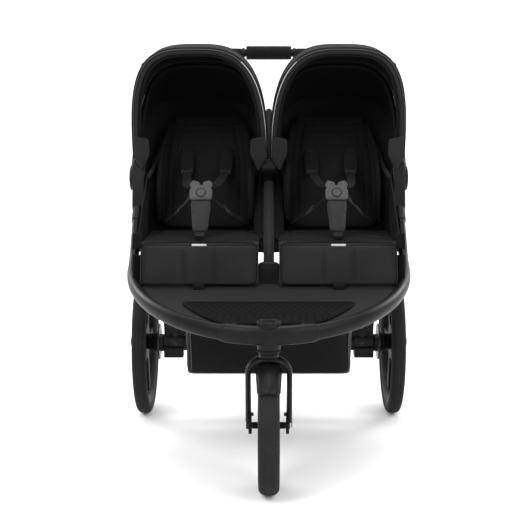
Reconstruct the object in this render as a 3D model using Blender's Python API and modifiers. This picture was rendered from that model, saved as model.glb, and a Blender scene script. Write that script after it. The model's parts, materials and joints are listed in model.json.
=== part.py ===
"""A three-wheeled jogging stroller with two seats side by side, built from the pieces it is made of.

Metres, +Z up. X runs across the stroller, the front wheel points to -Y, and the origin is on the
floor below the middle. Every moving piece hangs from an empty that stands on its joint's axis.
"""

import math

import bmesh
import bpy
from mathutils import Matrix, Vector

# Driving dimensions
CLEARANCE = 0.0003  # left between pieces that touch
TYRE_SIDES = 32
FLAT_RATIO = math.cos(math.pi / TYRE_SIDES)  # height of a wheel standing on a facet, to its radius

FRONT_TYRE_RADIUS = 0.149
FRONT_TYRE_WIDTH = 0.0452
FRONT_AXLE = Vector((0.0, -0.435, FRONT_TYRE_RADIUS * FLAT_RATIO))
SWIVEL_Y = -0.487
REAR_TYRE_RADIUS = 0.200
REAR_TYRE_WIDTH = 0.038
REAR_AXLE = Vector((0.343, 0.315, REAR_TYRE_RADIUS * FLAT_RATIO))
HUB_CAP_X = 0.385
CAP_POCKET_DEPTH = 0.0045

HOOP_HALF_WIDTH = 0.332
HOOP_LENGTH = 0.452
HOOP_CENTRE_Y = -0.045
HOOP_FRONT_Z = 0.3536
HOOP_SLOPE = 0.2126
TUBE_WIDTH = 0.023
TUBE_HEIGHT = 0.034
NOSE_HALF_WIDTH = 0.100
SOCKET_TURN = 2.4  # how far each tube goes into the nose, in degrees round the hoop
RISE_LENGTH = 0.180  # from the hoop's corner to the tube's end inside the hinge housing

FOLD_PIVOT = Vector((0.0, 0.130, 0.660))
LEG_PIVOT = Vector((0.0, 0.100, 0.600))
CANOPY_PIVOT = Vector((0.0, 0.090, 0.690))
TILT_PIVOT = Vector((0.0, 0.420, 0.945))
BIGHT = Vector((0.0, 0.085, 0.530))
BEAM_CENTRE = Vector((0.0, 0.245, 0.208))
CROSSBAR_CENTRE = Vector((0.0, 0.564, 1.013))

UPPER_RAIL_X = 0.35225
UPPER_RAIL_WIDTH = 0.0105
HANDLEBAR_X = 0.332
HANDLEBAR_RADIUS = 0.0115
GRIP_RADIUS = 0.020
LEG_X = 0.300
LEG_RADIUS = 0.011
BEAM_RADIUS = 0.022
HINGE_NEAR, HINGE_FAR = 0.3125, 0.3460  # the hinge housing, outwards from the centre plane

SEAT_X = 0.162
SEAT_HALF_WIDTH = 0.137
BACKREST_HALF_WIDTH = 0.122
BACKREST_LENGTH = 0.340
BACKREST_ANGLE = math.radians(58)
BACKREST_THICKNESS = 0.030

CANOPY_X = 0.1735
CANOPY_HALF_WIDTH = 0.171
CANOPY_RADIUS = 0.310
CANOPY_STEP = 0.004  # each shell is this much smaller than the one in front of it
CANOPY_SKIN = 0.0025
CANOPY_INNER_POWER = 2.87  # how square the arch is on the side of the centre rail
CANOPY_OUTER_POWER = 3.7
CANOPY_FIRST_ANGLE = 38.0
CANOPY_SHELL_ANGLE = 24.0
CANOPY_HOLE_RADIUS = 0.024

COLOURS = {
    "frame": ((0.020, 0.020, 0.021), 0.38, 0.4),
    "plastic": ((0.022, 0.022, 0.023), 0.50, 0.0),
    "rubber": ((0.018, 0.018, 0.018), 0.70, 0.0),
    "tyre": ((0.016, 0.016, 0.016), 0.82, 0.0),
    "fabric": ((0.012, 0.012, 0.013), 0.90, 0.0),
    "padding": ((0.030, 0.030, 0.032), 0.85, 0.0),
    "steel": ((0.550, 0.550, 0.560), 0.30, 1.0),
}


# Scene and materials
def cleared_collections():
    """Empties the scene and returns the collections for the parts and for the cutters."""
    for item in list(bpy.data.objects):
        bpy.data.objects.remove(item, do_unlink=True)
    parts = bpy.data.collections.new("double_jogging_stroller")
    cutters = bpy.data.collections.new("cutters")
    for collection in (parts, cutters):
        bpy.context.scene.collection.children.link(collection)
    return parts, cutters


PARTS, CUTTERS = cleared_collections()


def material(name, kind):
    colour, roughness, metallic = COLOURS[kind]
    made = bpy.data.materials.new(f"{name}_{kind}")
    made.use_nodes = True
    shader = made.node_tree.nodes["Principled BSDF"]
    shader.inputs["Base Color"].default_value = (*colour, 1.0)
    shader.inputs["Roughness"].default_value = roughness
    shader.inputs["Metallic"].default_value = metallic
    return made


def placed(name, data, kind, matrix=None, parent=None):
    """Links an object for the data, gives it its material and hangs it from its parent."""
    item = bpy.data.objects.new(name, data)
    item.matrix_world = matrix or Matrix.Identity(4)
    PARTS.objects.link(item)
    data.materials.append(material(name, kind))
    if parent:
        item.parent = parent
        item.matrix_parent_inverse = parent.matrix_world.inverted()
    return item


def pivot(name, place, parent=None):
    """An empty on a joint's axis."""
    empty = bpy.data.objects.new(name, None)
    empty.empty_display_size = 0.03
    PARTS.objects.link(empty)
    empty.location = place
    bpy.context.view_layer.update()
    if parent:
        empty.parent = parent
        empty.matrix_parent_inverse = parent.matrix_world.inverted()
        bpy.context.view_layer.update()
    return empty


# Shapes
def smooth(mesh, angle=35):
    mesh.shade_smooth()
    mesh.set_sharp_from_angle(angle=math.radians(angle))


def meshed(item):
    """The same object as a mesh whose caps are welded, which a Boolean can use."""
    bpy.context.view_layer.update()
    graph = bpy.context.evaluated_depsgraph_get()
    mesh = bpy.data.meshes.new_from_object(item.evaluated_get(graph), depsgraph=graph)
    work = bmesh.new()
    work.from_mesh(mesh)
    bmesh.ops.remove_doubles(work, verts=work.verts, dist=0.00001)
    bmesh.ops.recalc_face_normals(work, faces=work.faces)
    work.to_mesh(mesh)
    work.free()
    name, place, parent = item.name, item.matrix_world.copy(), item.parent
    old = item.data
    bpy.data.objects.remove(item)
    bpy.data.curves.remove(old)
    result = bpy.data.objects.new(name, mesh)
    PARTS.objects.link(result)
    result.matrix_world = place
    if parent:
        result.parent = parent
        result.matrix_parent_inverse = parent.matrix_world.inverted()
    smooth(mesh)
    return result


def combined(item, others, operation="UNION"):
    """Joins the others to the item, or cuts them from it, with one Boolean modifier each."""
    for other in others:
        PARTS.objects.unlink(other)
        CUTTERS.objects.link(other)
        other.hide_render = True
        other.display_type = "WIRE"
        modifier = item.modifiers.new(f"{operation.lower()}_{other.name}", "BOOLEAN")
        modifier.operation = operation
        modifier.object = other
    return item


def ellipse_section(name, width, height, sides=12):
    """A closed hidden outline that a tube is swept from."""
    outline = bpy.data.curves.new(name, "CURVE")
    outline.dimensions = "2D"
    spline = outline.splines.new("POLY")
    spline.points.add(sides - 1)
    for index, point in enumerate(spline.points):
        turn = -2 * math.pi * index / sides
        point.co = (width / 2 * math.cos(turn), height / 2 * math.sin(turn), 0.0, 1.0)
    spline.use_cyclic_u = True
    item = bpy.data.objects.new(name, outline)
    item.hide_render = True
    CUTTERS.objects.link(item)
    return item


def tube(name, points, kind, radius=None, section=None, parent=None):
    """A tube along the points, round or with the section of a hidden outline."""
    curve = bpy.data.curves.new(name, "CURVE")
    curve.dimensions = "3D"
    curve.use_fill_caps = True
    if section:
        curve.bevel_mode = "OBJECT"
        curve.bevel_object = section
        curve.twist_mode = "Z_UP"
    else:
        curve.bevel_depth = radius
        curve.bevel_resolution = 3
    spline = curve.splines.new("POLY")
    spline.points.add(len(points) - 1)
    for point, place in zip(spline.points, points):
        point.co = (*place, 1.0)
    return placed(name, curve, kind, parent=parent)


def pointing(axis, turn=0.0):
    """The rotation that takes local Z to the axis, after a turn about it."""
    look = Vector(axis).to_track_quat("Z", "Y").to_matrix().to_4x4()
    return look @ Matrix.Rotation(turn, 4, "Z")


def turned(name, profile, centre, axis, kind, sides=24, closed=False, turn=0.0, parent=None):
    """A turned shape: (radius, height) points, outer side first from the top down."""
    mesh = bpy.data.meshes.new(name)
    edges = [(i, i + 1) for i in range(len(profile) - 1)]
    if closed:
        edges.append((len(profile) - 1, 0))
    mesh.from_pydata([(radius, 0.0, height) for radius, height in profile], edges, [])
    matrix = Matrix.Translation(centre) @ pointing(axis, turn)
    item = placed(name, mesh, kind, matrix, parent)
    screw = item.modifiers.new("turned", "SCREW")
    screw.steps = sides
    screw.render_steps = sides
    screw.use_merge_vertices = True
    screw.merge_threshold = 0.0001
    screw.use_smooth_shade = True
    return item


def disc(name, radius, length, centre, axis, kind, sides=24, bore=0.0, edge=0.0, parent=None):
    """A round block centred on a point, with an optional bore and chamfered rims."""
    half = length / 2
    rim = [(radius - edge, half), (radius, half - edge), (radius, edge - half), (radius - edge, -half)]
    if not edge:
        rim = [(radius, half), (radius, -half)]
    if bore:
        profile = [*rim, (bore, -half), (bore, half)]
        return turned(name, profile, centre, axis, kind, sides, closed=True, parent=parent)
    profile = [(0.0, half), *rim, (0.0, -half)]
    return turned(name, profile, centre, axis, kind, sides, parent=parent)


SIDE_PLANE = Matrix.Rotation(math.pi / 2, 4, "Z") @ Matrix.Rotation(math.pi / 2, 4, "X")


def plate(name, outlines, thickness, matrix, kind, edge=0.0, parent=None):
    """A flat piece: 2D outlines, the first the outer one, extruded about the local XY plane."""
    curve = bpy.data.curves.new(name, "CURVE")
    curve.dimensions = "2D"
    curve.fill_mode = "BOTH"
    curve.extrude = thickness / 2 - edge
    curve.bevel_depth = edge
    curve.bevel_resolution = 1
    curve.offset = -edge
    for outline in outlines:
        spline = curve.splines.new("POLY")
        spline.points.add(len(outline) - 1)
        for point, place in zip(spline.points, outline):
            point.co = (place[0], place[1], 0.0, 1.0)
        spline.use_cyclic_u = True
    return placed(name, curve, kind, matrix, parent)


def side_plate(name, outline, near_x, far_x, side, kind, edge=0.0, parent=None):
    """A plate drawn in the side view, (y, z), between two distances from the centre plane."""
    matrix = Matrix.Translation((side * (near_x + far_x) / 2, 0.0, 0.0)) @ SIDE_PLANE
    return plate(name, [outline], far_x - near_x, matrix, kind, edge, parent)


def block(name, size, centre, kind, rotation=None, edge=0.002, parent=None):
    """A box with rounded edges."""
    mesh = bpy.data.meshes.new(name)
    work = bmesh.new()
    bmesh.ops.create_cube(work, size=1.0)
    bmesh.ops.scale(work, vec=size, verts=work.verts)
    work.to_mesh(mesh)
    work.free()
    matrix = Matrix.Translation(centre) @ (rotation or Matrix.Identity(4))
    item = placed(name, mesh, kind, matrix, parent)
    bevel = item.modifiers.new("rounded", "BEVEL")
    bevel.width = edge
    bevel.segments = 2
    return item


def arc(centre, radius, first, last, steps):
    """Points on an arc, angles in degrees."""
    points = []
    for step in range(steps + 1):
        turn = math.radians(first + (last - first) * step / steps)
        points.append((centre[0] + radius * math.cos(turn), centre[1] + radius * math.sin(turn)))
    return points


def hull_of_discs(discs, steps=24):
    """The outline stretched round discs given as (centre y, centre z, radius)."""
    points = []
    for y, z, radius in discs:
        points += arc((y, z), radius, 0, 360 - 360 / steps, steps - 1)
    points = sorted(set(points))

    def chain(ordered):
        kept = []
        for point in ordered:
            while len(kept) > 1 and cross(kept[-2], kept[-1], point) <= 1e-9:
                kept.pop()
            kept.append(point)
        return kept[:-1]

    return chain(points) + chain(points[::-1])


def cross(first, second, third):
    a = (second[0] - first[0], second[1] - first[1])
    b = (third[0] - first[0], third[1] - first[1])
    return a[0] * b[1] - a[1] * b[0]


def rounded(corners, radius, steps=4):
    """A closed outline with its corners replaced by arcs of about the radius."""
    points = []
    count = len(corners)
    for index in range(count):
        corner = Vector(corners[index])
        before = (Vector(corners[index - 1]) - corner).normalized()
        after = (Vector(corners[(index + 1) % count]) - corner).normalized()
        for step in range(steps + 1):
            share = step / steps
            start = corner + before * radius * (1 - share) ** 2
            points.append(tuple(start + after * radius * share**2))
    return points


def side_name(side):
    return "right" if side > 0 else "left"


def at_x(place, x):
    return Vector((x, place.y, place.z))


# The frame
def hoop_height(y):
    return HOOP_FRONT_Z + HOOP_SLOPE * (y - HOOP_CENTRE_Y + HOOP_LENGTH)


def hoop_point(turn):
    """A point on the hoop's centre line, 0 degrees at the front and 90 at the side."""
    angle = math.radians(turn)
    y = HOOP_CENTRE_Y - HOOP_LENGTH * math.cos(angle)
    return Vector((HOOP_HALF_WIDTH * math.sin(angle), y, hoop_height(y)))


def mirrored(place, side):
    return Vector((side * place.x, place.y, place.z))


def frame_tube_route():
    """From beside the nose, round the hoop's side and up to the fold hinge."""
    first = math.degrees(math.asin(NOSE_HALF_WIDTH / HOOP_HALF_WIDTH)) - SOCKET_TURN
    last = 84.0
    hoop = [hoop_point(first + (last - first) * step / 9) for step in range(10)]
    corner = hoop_point(90.0)
    rise = (at_x(FOLD_PIVOT, HOOP_HALF_WIDTH) - corner).normalized()
    bend_end = corner + rise * 0.05
    bend = []
    for step in range(1, 4):
        share = step / 3
        bend.append(
            hoop[-1] * (1 - share) ** 2 + corner * 2 * share * (1 - share) + bend_end * share**2
        )
    return hoop + bend + [corner + rise * RISE_LENGTH]


def build_head(section, socket_section):
    """The cast nose of the hoop with the steering head below its middle."""
    first = math.degrees(math.asin(NOSE_HALF_WIDTH / HOOP_HALF_WIDTH))
    route = [hoop_point(abs(turn)) for turn in (first * step / 4 for step in range(-4, 5))]
    for step, point in enumerate(route):
        point.x = math.copysign(point.x, step - 4)
    nose = meshed(tube("head_casting", route, "plastic", section=section))
    head_top = 0.3675
    head_bottom = 0.3150
    centre = (0.0, SWIVEL_Y, (head_top + head_bottom) / 2)
    barrel = disc("head_barrel", 0.026, head_top - head_bottom, centre, (0, 0, 1), "plastic", 24)
    bore = disc("head_bore", 0.0092, 0.070, (0, SWIVEL_Y, head_bottom), (0, 0, 1), "plastic", 16)
    seat = disc("knob_seat", 0.0266, 0.030, (0, SWIVEL_Y, head_top + 0.015), (0, 0, 1), "plastic", 24)
    start, following = frame_tube_route()[:2]
    heading = (following - start).normalized()
    sockets = []
    for side in (-1, 1):
        inside = [mirrored(start + heading * reach, side) for reach in (-2 * CLEARANCE, 0.030)]
        name = f"nose_socket_{side_name(side)}"
        sockets.append(meshed(tube(name, inside, "plastic", section=socket_section)))
    combined(nose, [barrel])
    return combined(nose, [bore, seat, *sockets], "DIFFERENCE")


def build_frame():
    tube_section = ellipse_section("tube_section", TUBE_WIDTH, TUBE_HEIGHT)
    nose_section = ellipse_section("nose_section", 0.031, 0.041)
    slack = 4 * CLEARANCE
    socket_section = ellipse_section("socket_section", TUBE_WIDTH + slack, TUBE_HEIGHT + slack)
    build_head(nose_section, socket_section)
    route = frame_tube_route()
    rise = (route[-1] - route[-2]).normalized()
    for side in (-1, 1):
        points = [mirrored(place, side) for place in route]
        tube(f"frame_tube_{side_name(side)}", points, "frame", section=tube_section)
        hinge = hull_of_discs(
            [
                (FOLD_PIVOT.y, FOLD_PIVOT.z, 0.034),
                (LEG_PIVOT.y, LEG_PIVOT.z, 0.020),
                (CANOPY_PIVOT.y, CANOPY_PIVOT.z, 0.018),
                (0.072, 0.592, 0.020),
            ],
            18,
        )
        name = f"hinge_housing_{side_name(side)}"
        housing = meshed(side_plate(name, hinge, HINGE_NEAR, HINGE_FAR, side, "plastic", 0.002))
        bore = [mirrored(route[-1] + rise * reach, side) for reach in (-0.060, 2 * CLEARANCE)]
        socket = meshed(tube(f"{name}_socket", bore, "plastic", section=socket_section))
        combined(housing, [socket], "DIFFERENCE")
    crossbar_y = -0.130
    crossbar = Vector((0.3118, crossbar_y, hoop_height(crossbar_y)))
    tube("seat_front_crossbar", [at_x(crossbar, -crossbar.x), crossbar], "frame", 0.012)
    bight_bar = Vector((0.3195, -0.015, 0.4918))
    tube("seat_rear_crossbar", [at_x(bight_bar, -bight_bar.x), bight_bar], "frame", 0.010)
    build_centre_rail(crossbar)


def build_centre_rail(crossbar):
    """The rail between the seats, with the boss that both canopies turn on."""
    foot = Vector((0.0, crossbar.y - 0.012, crossbar.z + 0.030))
    knee = Vector((0.0, 0.130, 0.652))
    top = Vector((0.0, 0.305, 0.838))
    rail = meshed(tube("centre_rail", [foot, knee, top], "frame", 0.0125))
    neck = hull_of_discs(
        [(CANOPY_PIVOT.y, CANOPY_PIVOT.z, 0.018), (knee.y - 0.004, knee.z + 0.002, 0.007)], 18
    )
    bracket = side_plate("centre_bracket", neck, -0.0155, 0.0155, 1, "plastic")
    boot = block("centre_boot", (0.050, 0.019, 0.066), (0.0, -0.1522, 0.438), "plastic", edge=0.003)
    combined(rail, [meshed(bracket), boot])


# The seats
def build_seats():
    profile = rounded(
        [
            (-0.208, 0.418),
            (-0.186, 0.418),
            (-0.165, 0.497),
            (0.0705, 0.505),
            (0.0705, 0.535),
            (-0.180, 0.524),
        ],
        0.010,
        3,
    )
    wing = rounded(
        [(-0.165, 0.522), (0.062, 0.520), (0.066, 0.640), (0.060, 0.668), (0.020, 0.640), (-0.110, 0.560)],
        0.012,
        3,
    )
    for side in (-1, 1):
        name = side_name(side)
        near, far = SEAT_X - SEAT_HALF_WIDTH, SEAT_X + SEAT_HALF_WIDTH
        side_plate(f"seat_pad_{name}", profile, near, far, side, "fabric")
        side_plate(f"seat_wing_{name}", wing, 0.3035, 0.3085, side, "fabric")
        build_backrest(side, name)
        build_harness(side, name)


def along_backrest(distance, lift=0.0):
    """A point in the centre plane, so far up the backrest and so far in front of its middle."""
    up = Vector((0.0, math.cos(BACKREST_ANGLE), math.sin(BACKREST_ANGLE)))
    out = Vector((0.0, -math.sin(BACKREST_ANGLE), math.cos(BACKREST_ANGLE)))
    return BIGHT + up * distance + out * lift


def backrest_plane(side, distance, lift):
    place = at_x(along_backrest(distance, lift), side * SEAT_X)
    return Matrix.Translation(place) @ Matrix.Rotation(BACKREST_ANGLE, 4, "X")


def build_backrest(side, name):
    hinge = pivot(f"recline_axis_{name}", at_x(BIGHT, side * SEAT_X))
    wide, narrow, taper_from = BACKREST_HALF_WIDTH, 0.098, 0.200
    half = [(wide, 0.0), (wide, taper_from), (narrow, BACKREST_LENGTH)]
    outline = rounded(half + [(-x, y) for x, y in reversed(half)], 0.030, 4)
    matrix = backrest_plane(side, 0.0, 0.0)
    backrest = meshed(
        plate(f"backrest_{name}", [outline], BACKREST_THICKNESS, matrix, "fabric", 0.006, hinge)
    )
    bolster = [(0.012, 0.008), (0.006, 0.048), (0.050, 0.082)]
    bolster += [(0.104, 0.094), (0.200, 0.064), (0.306, 0.010)]
    profile = [along_backrest(distance, lift) for distance, lift in bolster]
    walls = []
    for edge in (-1, 1):
        near, far = sorted((side * SEAT_X + edge * 0.1085, side * SEAT_X + edge * 0.1195))
        label = f"bolster_{name}_{edge + 1}"
        walls.append(meshed(side_plate(label, [(p.y, p.z) for p in profile], near, far, 1, "fabric")))
    combined(backrest, walls)
    strap = [(-0.012, 0.150), (0.012, 0.150), (0.062, 0.262), (0.040, 0.262)]
    strap += [(0.0, 0.172), (-0.040, 0.262), (-0.062, 0.262)]
    matrix = backrest_plane(side, 0.0, BACKREST_THICKNESS / 2 + CLEARANCE + 0.002)
    plate(f"shoulder_straps_{name}", [strap], 0.004, matrix, "fabric", parent=hinge)


def build_harness(side, name):
    """The crotch pad that stands on the seat by its strap, with the buckle and its push button."""
    lean = Matrix.Rotation(BACKREST_ANGLE + math.radians(1), 4, "X")
    foot = Vector((side * SEAT_X, -0.147, 0.5490))
    up = lean @ Vector((0.0, 1.0, 0.0))
    out = lean @ Vector((0.0, 0.0, 1.0))
    pad_corners = [(-0.0195, -0.0090), (0.0195, -0.0090), (0.0262, 0.0745), (-0.0262, 0.0745)]
    pad_outline = rounded(pad_corners, 0.008, 3)
    pad_place = Matrix.Translation(foot) @ lean
    pad = meshed(plate(f"crotch_pad_{name}", [pad_outline], 0.012, pad_place, "padding", 0.003))
    strap_place = pad_place @ Matrix.Translation((0.0, -0.0080, 0.0))
    combined(pad, [block(f"crotch_strap_{name}", (0.019, 0.0358, 0.007), (0, 0, 0), "fabric", strap_place)])
    base = 0.0750
    half_outline = [(0.0262, 0.0), (0.0275, 0.028), (0.016, 0.040)]
    buckle_corners = half_outline + [(-x, y) for x, y in reversed(half_outline)]
    buckle_outline = rounded(buckle_corners, 0.007, 3)
    buckle_place = Matrix.Translation(foot + up * base) @ lean
    buckle = meshed(plate(f"buckle_{name}", [buckle_outline], 0.016, buckle_place, "plastic", 0.002))
    button_at = foot + up * (base + 0.018) + out * 0.006
    normal = tuple(out)
    pocket = disc(f"buckle_pocket_{name}", 0.0105, 0.0100, button_at + out * 0.003, normal, "plastic", 20)
    combined(buckle, [pocket], "DIFFERENCE")
    axis = pivot(f"buckle_button_axis_{name}", button_at)
    centre = button_at + out * 0.0025
    disc(f"buckle_button_{name}", 0.0098, 0.0030, centre, normal, "plastic", 20, parent=axis)


# The canopies
def canopy_point(side, turn, share, shrink):
    """On a canopy's skin: turn about the pivot from +Y towards +Z, share across from hub to hub."""
    half_width = CANOPY_HALF_WIDTH - shrink
    radius = CANOPY_RADIUS - shrink
    powers = (CANOPY_OUTER_POWER, CANOPY_INNER_POWER)[::side]
    first, last = (math.asin((CANOPY_HOLE_RADIUS / radius) ** (power / 2)) for power in powers)
    across = first + (math.pi - last - first) * share
    power = powers[0] if across < math.pi / 2 else powers[1]
    reach = radius * math.sin(across) ** (2 / power)
    x = math.copysign(half_width * abs(math.cos(across)) ** (2 / power), math.cos(across))
    angle = math.radians(turn)
    return Vector((x, reach * math.cos(angle), reach * math.sin(angle)))


def canopy_shell(name, side, level, shrink, hinge):
    """One of the three nested shells of a hood, an open skin made solid."""
    rows, columns = 3, 18
    work = bmesh.new()
    grid = []
    for row in range(rows + 1):
        turn = CANOPY_FIRST_ANGLE + CANOPY_SHELL_ANGLE * (level + row / rows)
        line = []
        for column in range(columns + 1):
            line.append(work.verts.new(canopy_point(side, turn, column / columns, shrink)))
        grid.append(line)
    for row in range(rows):
        for column in range(columns):
            here, there = grid[row], grid[row + 1]
            work.faces.new((here[column], here[column + 1], there[column + 1], there[column]))
    bmesh.ops.recalc_face_normals(work, faces=work.faces)
    mesh = bpy.data.meshes.new(name)
    outward = work.faces[:][0].normal.dot(work.faces[:][0].calc_center_median())
    if outward < 0:
        bmesh.ops.reverse_faces(work, faces=work.faces)
    work.to_mesh(mesh)
    work.free()
    smooth(mesh, 60)
    place = Matrix.Translation(at_x(CANOPY_PIVOT, side * CANOPY_X))
    item = placed(name, mesh, "fabric", place, hinge)
    solid = item.modifiers.new("thickness", "SOLIDIFY")
    solid.thickness = CANOPY_SKIN
    solid.offset = -1
    return item


def build_canopies():
    for side in (-1, 1):
        name = side_name(side)
        middle = pivot(f"canopy_middle_axis_{name}", at_x(CANOPY_PIVOT, side * CANOPY_X))
        front = pivot(f"canopy_front_axis_{name}", at_x(CANOPY_PIVOT, side * CANOPY_X), middle)
        canopy_shell(f"canopy_rear_{name}", side, 0, 2 * CANOPY_STEP, None)
        canopy_shell(f"canopy_middle_{name}", side, 1, CANOPY_STEP, middle)
        canopy_shell(f"canopy_front_{name}", side, 2, 0.0, front)


# Footrest and basket
def build_footrest():
    """The fabric panel stretched inside the hoop, and the rubber tread that lies on it."""
    slope = math.atan(HOOP_SLOPE)
    stretch = math.cos(slope)
    origin = Vector((0.0, HOOP_CENTRE_Y, hoop_height(HOOP_CENTRE_Y)))
    width = HOOP_HALF_WIDTH - TUBE_WIDTH / 2 - 0.003
    length = (HOOP_LENGTH - TUBE_WIDTH / 2 - 0.007) / stretch
    back = -0.158 / stretch
    first = math.degrees(math.asin(-back / length))
    panel = [
        (width * math.cos(math.radians(turn)), -length * math.sin(math.radians(turn)))
        for turn in (first + (180 - 2 * first) * step / 24 for step in range(25))
    ]
    panel = [(x, max(y, -0.925 * length)) for x, y in panel]
    lie = Matrix.Rotation(slope, 4, "X")
    plate("footrest_panel", [panel], 0.005, Matrix.Translation(origin) @ lie, "fabric")
    tread = [(0.78 * x, y) for x, y in panel if y < 0.62 * -length]
    top = lie @ Vector((0.0, 0.0, 0.005 + CLEARANCE))
    plate("footrest_tread", [tread], 0.005, Matrix.Translation(origin + top) @ lie, "rubber")


def build_basket():
    """The open tub below the seats, wider towards the back."""
    front_y, rear_y = -0.200, 0.190
    rows = [
        (front_y, 0.1925, 0.207),
        (rear_y, 0.222, 0.234),
        (front_y, 0.1940, 0.345),
        (rear_y, 0.236, 0.365),
    ]
    work = bmesh.new()
    corners = []
    for y, half_width, z in rows:
        corners.append([work.verts.new((x, y, z)) for x in (-half_width, half_width)])
    (front_low, rear_low, front_high, rear_high) = corners
    work.faces.new((front_low[0], front_low[1], rear_low[1], rear_low[0]))
    work.faces.new((front_low[0], front_high[0], front_high[1], front_low[1]))
    work.faces.new((rear_low[0], rear_low[1], rear_high[1], rear_high[0]))
    work.faces.new((front_low[0], rear_low[0], rear_high[0], front_high[0]))
    work.faces.new((front_low[1], front_high[1], rear_high[1], rear_low[1]))
    bmesh.ops.recalc_face_normals(work, faces=work.faces)
    work.faces.ensure_lookup_table()
    if work.faces[0].normal.z > 0:
        bmesh.ops.reverse_faces(work, faces=work.faces)
    mesh = bpy.data.meshes.new("basket")
    work.to_mesh(mesh)
    work.free()
    item = placed("basket", mesh, "fabric")
    bevel = item.modifiers.new("rounded", "BEVEL")
    bevel.width = 0.018
    bevel.segments = 2
    solid = item.modifiers.new("thickness", "SOLIDIFY")
    solid.thickness = 0.004
    solid.offset = -1
    hangers = []
    front_strap = (0.176, (-0.196, 0.334), (-0.1415, 0.4175))
    rear_strap = (0.226, (0.1855, 0.352), (-0.002, 0.481))
    for side in (-1, 1):
        for x, low, high in (front_strap, rear_strap):
            hangers.append(hanger(side * x, low, high))
    combined(item, hangers)


def hanger(x, low, high):
    """A strap from the basket's rim up to a crossbar, given its ends in the side view."""
    run = Vector((0.0, high[0] - low[0], high[1] - low[1]))
    middle = (x, (low[0] + high[0]) / 2, (low[1] + high[1]) / 2)
    lie = Matrix.Rotation(math.atan2(run.z, run.y), 4, "X")
    return block("hanger", (0.020, run.length, 0.003), middle, "fabric", lie, 0.0008)


# The handlebar and its rails
def rail_outline():
    """The side view of an upper rail: a fold disc, a slim bar and a tilt disc."""
    run = TILT_PIVOT - FOLD_PIVOT
    heading = math.degrees(math.atan2(run.z, run.y))
    low = (FOLD_PIVOT.y, FOLD_PIVOT.z)
    high = (TILT_PIVOT.y, TILT_PIVOT.z)
    fold_disc = arc(low, 0.032, heading + 28, heading + 332, 16)
    return fold_disc + arc(high, 0.030, heading - 150, heading + 150, 14)


def build_upper_frame():
    fold = pivot("fold_axis", FOLD_PIVOT)
    inner = UPPER_RAIL_X - UPPER_RAIL_WIDTH / 2
    outer = UPPER_RAIL_X + UPPER_RAIL_WIDTH / 2
    outline = rail_outline()
    run = (TILT_PIVOT - FOLD_PIVOT).normalized()
    up = Vector((0.0, -run.z, run.y))
    for side in (-1, 1):
        name = side_name(side)
        rail = meshed(side_plate(f"upper_rail_{name}", outline, inner, outer, side, "frame", 0.004, fold))
        pocket = disc(f"tilt_pocket_{name}", 0.0175, 0.016, at_x(TILT_PIVOT, side * outer), (1, 0, 0), "frame")
        combined(rail, [pocket], "DIFFERENCE")
        tilt_button = pivot(f"tilt_button_axis_{name}", at_x(TILT_PIVOT, side * outer), fold)
        centre = at_x(TILT_PIVOT, side * (outer - 0.0005))
        disc(f"tilt_button_{name}", 0.0165, 0.006, centre, (1, 0, 0), "plastic", edge=0.001, parent=tilt_button)
        on_rail = at_x(FOLD_PIVOT + run * 0.200 + up * 0.0205, side * UPPER_RAIL_X)
        release = pivot(f"fold_release_axis_{name}", on_rail, fold)
        lie = Matrix.Rotation(math.atan2(run.z, run.y), 4, "X")
        block(f"fold_release_{name}", (0.010, 0.036, 0.008), on_rail, "plastic", lie, 0.002, release)
    build_handlebar(fold)


def build_handlebar(fold):
    tilt = pivot("tilt_axis", TILT_PIVOT, fold)
    arm = (CROSSBAR_CENTRE - TILT_PIVOT).normalized()
    start = at_x(TILT_PIVOT + arm * 0.012, HANDLEBAR_X)
    corner = at_x(CROSSBAR_CENTRE, HANDLEBAR_X)
    near = corner - arm * 0.060
    far = corner - Vector((0.070, 0.0, 0.0))
    half = [start, near]
    for step in range(1, 6):
        share = step / 6
        half.append(near * (1 - share) ** 2 + corner * 2 * share * (1 - share) + far * share**2)
    half.append(far)
    route = half + [Vector((-p.x, p.y, p.z)) for p in reversed(half)]
    bar = meshed(tube("handlebar", route, "frame", HANDLEBAR_RADIUS, parent=tilt))
    hubs = []
    for side in (-1, 1):
        centre = at_x(TILT_PIVOT, side * 0.33275)
        hubs.append(disc(f"tilt_hub_{side_name(side)}", 0.028, 0.0265, centre, (1, 0, 0), "frame", 20))
    combined(bar, hubs)
    brake = pivot("brake_grip_axis", CROSSBAR_CENTRE, tilt)
    disc("brake_grip", GRIP_RADIUS, 0.132, CROSSBAR_CENTRE, (1, 0, 0), "rubber", 20, 0.0128, 0.003, brake)


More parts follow.
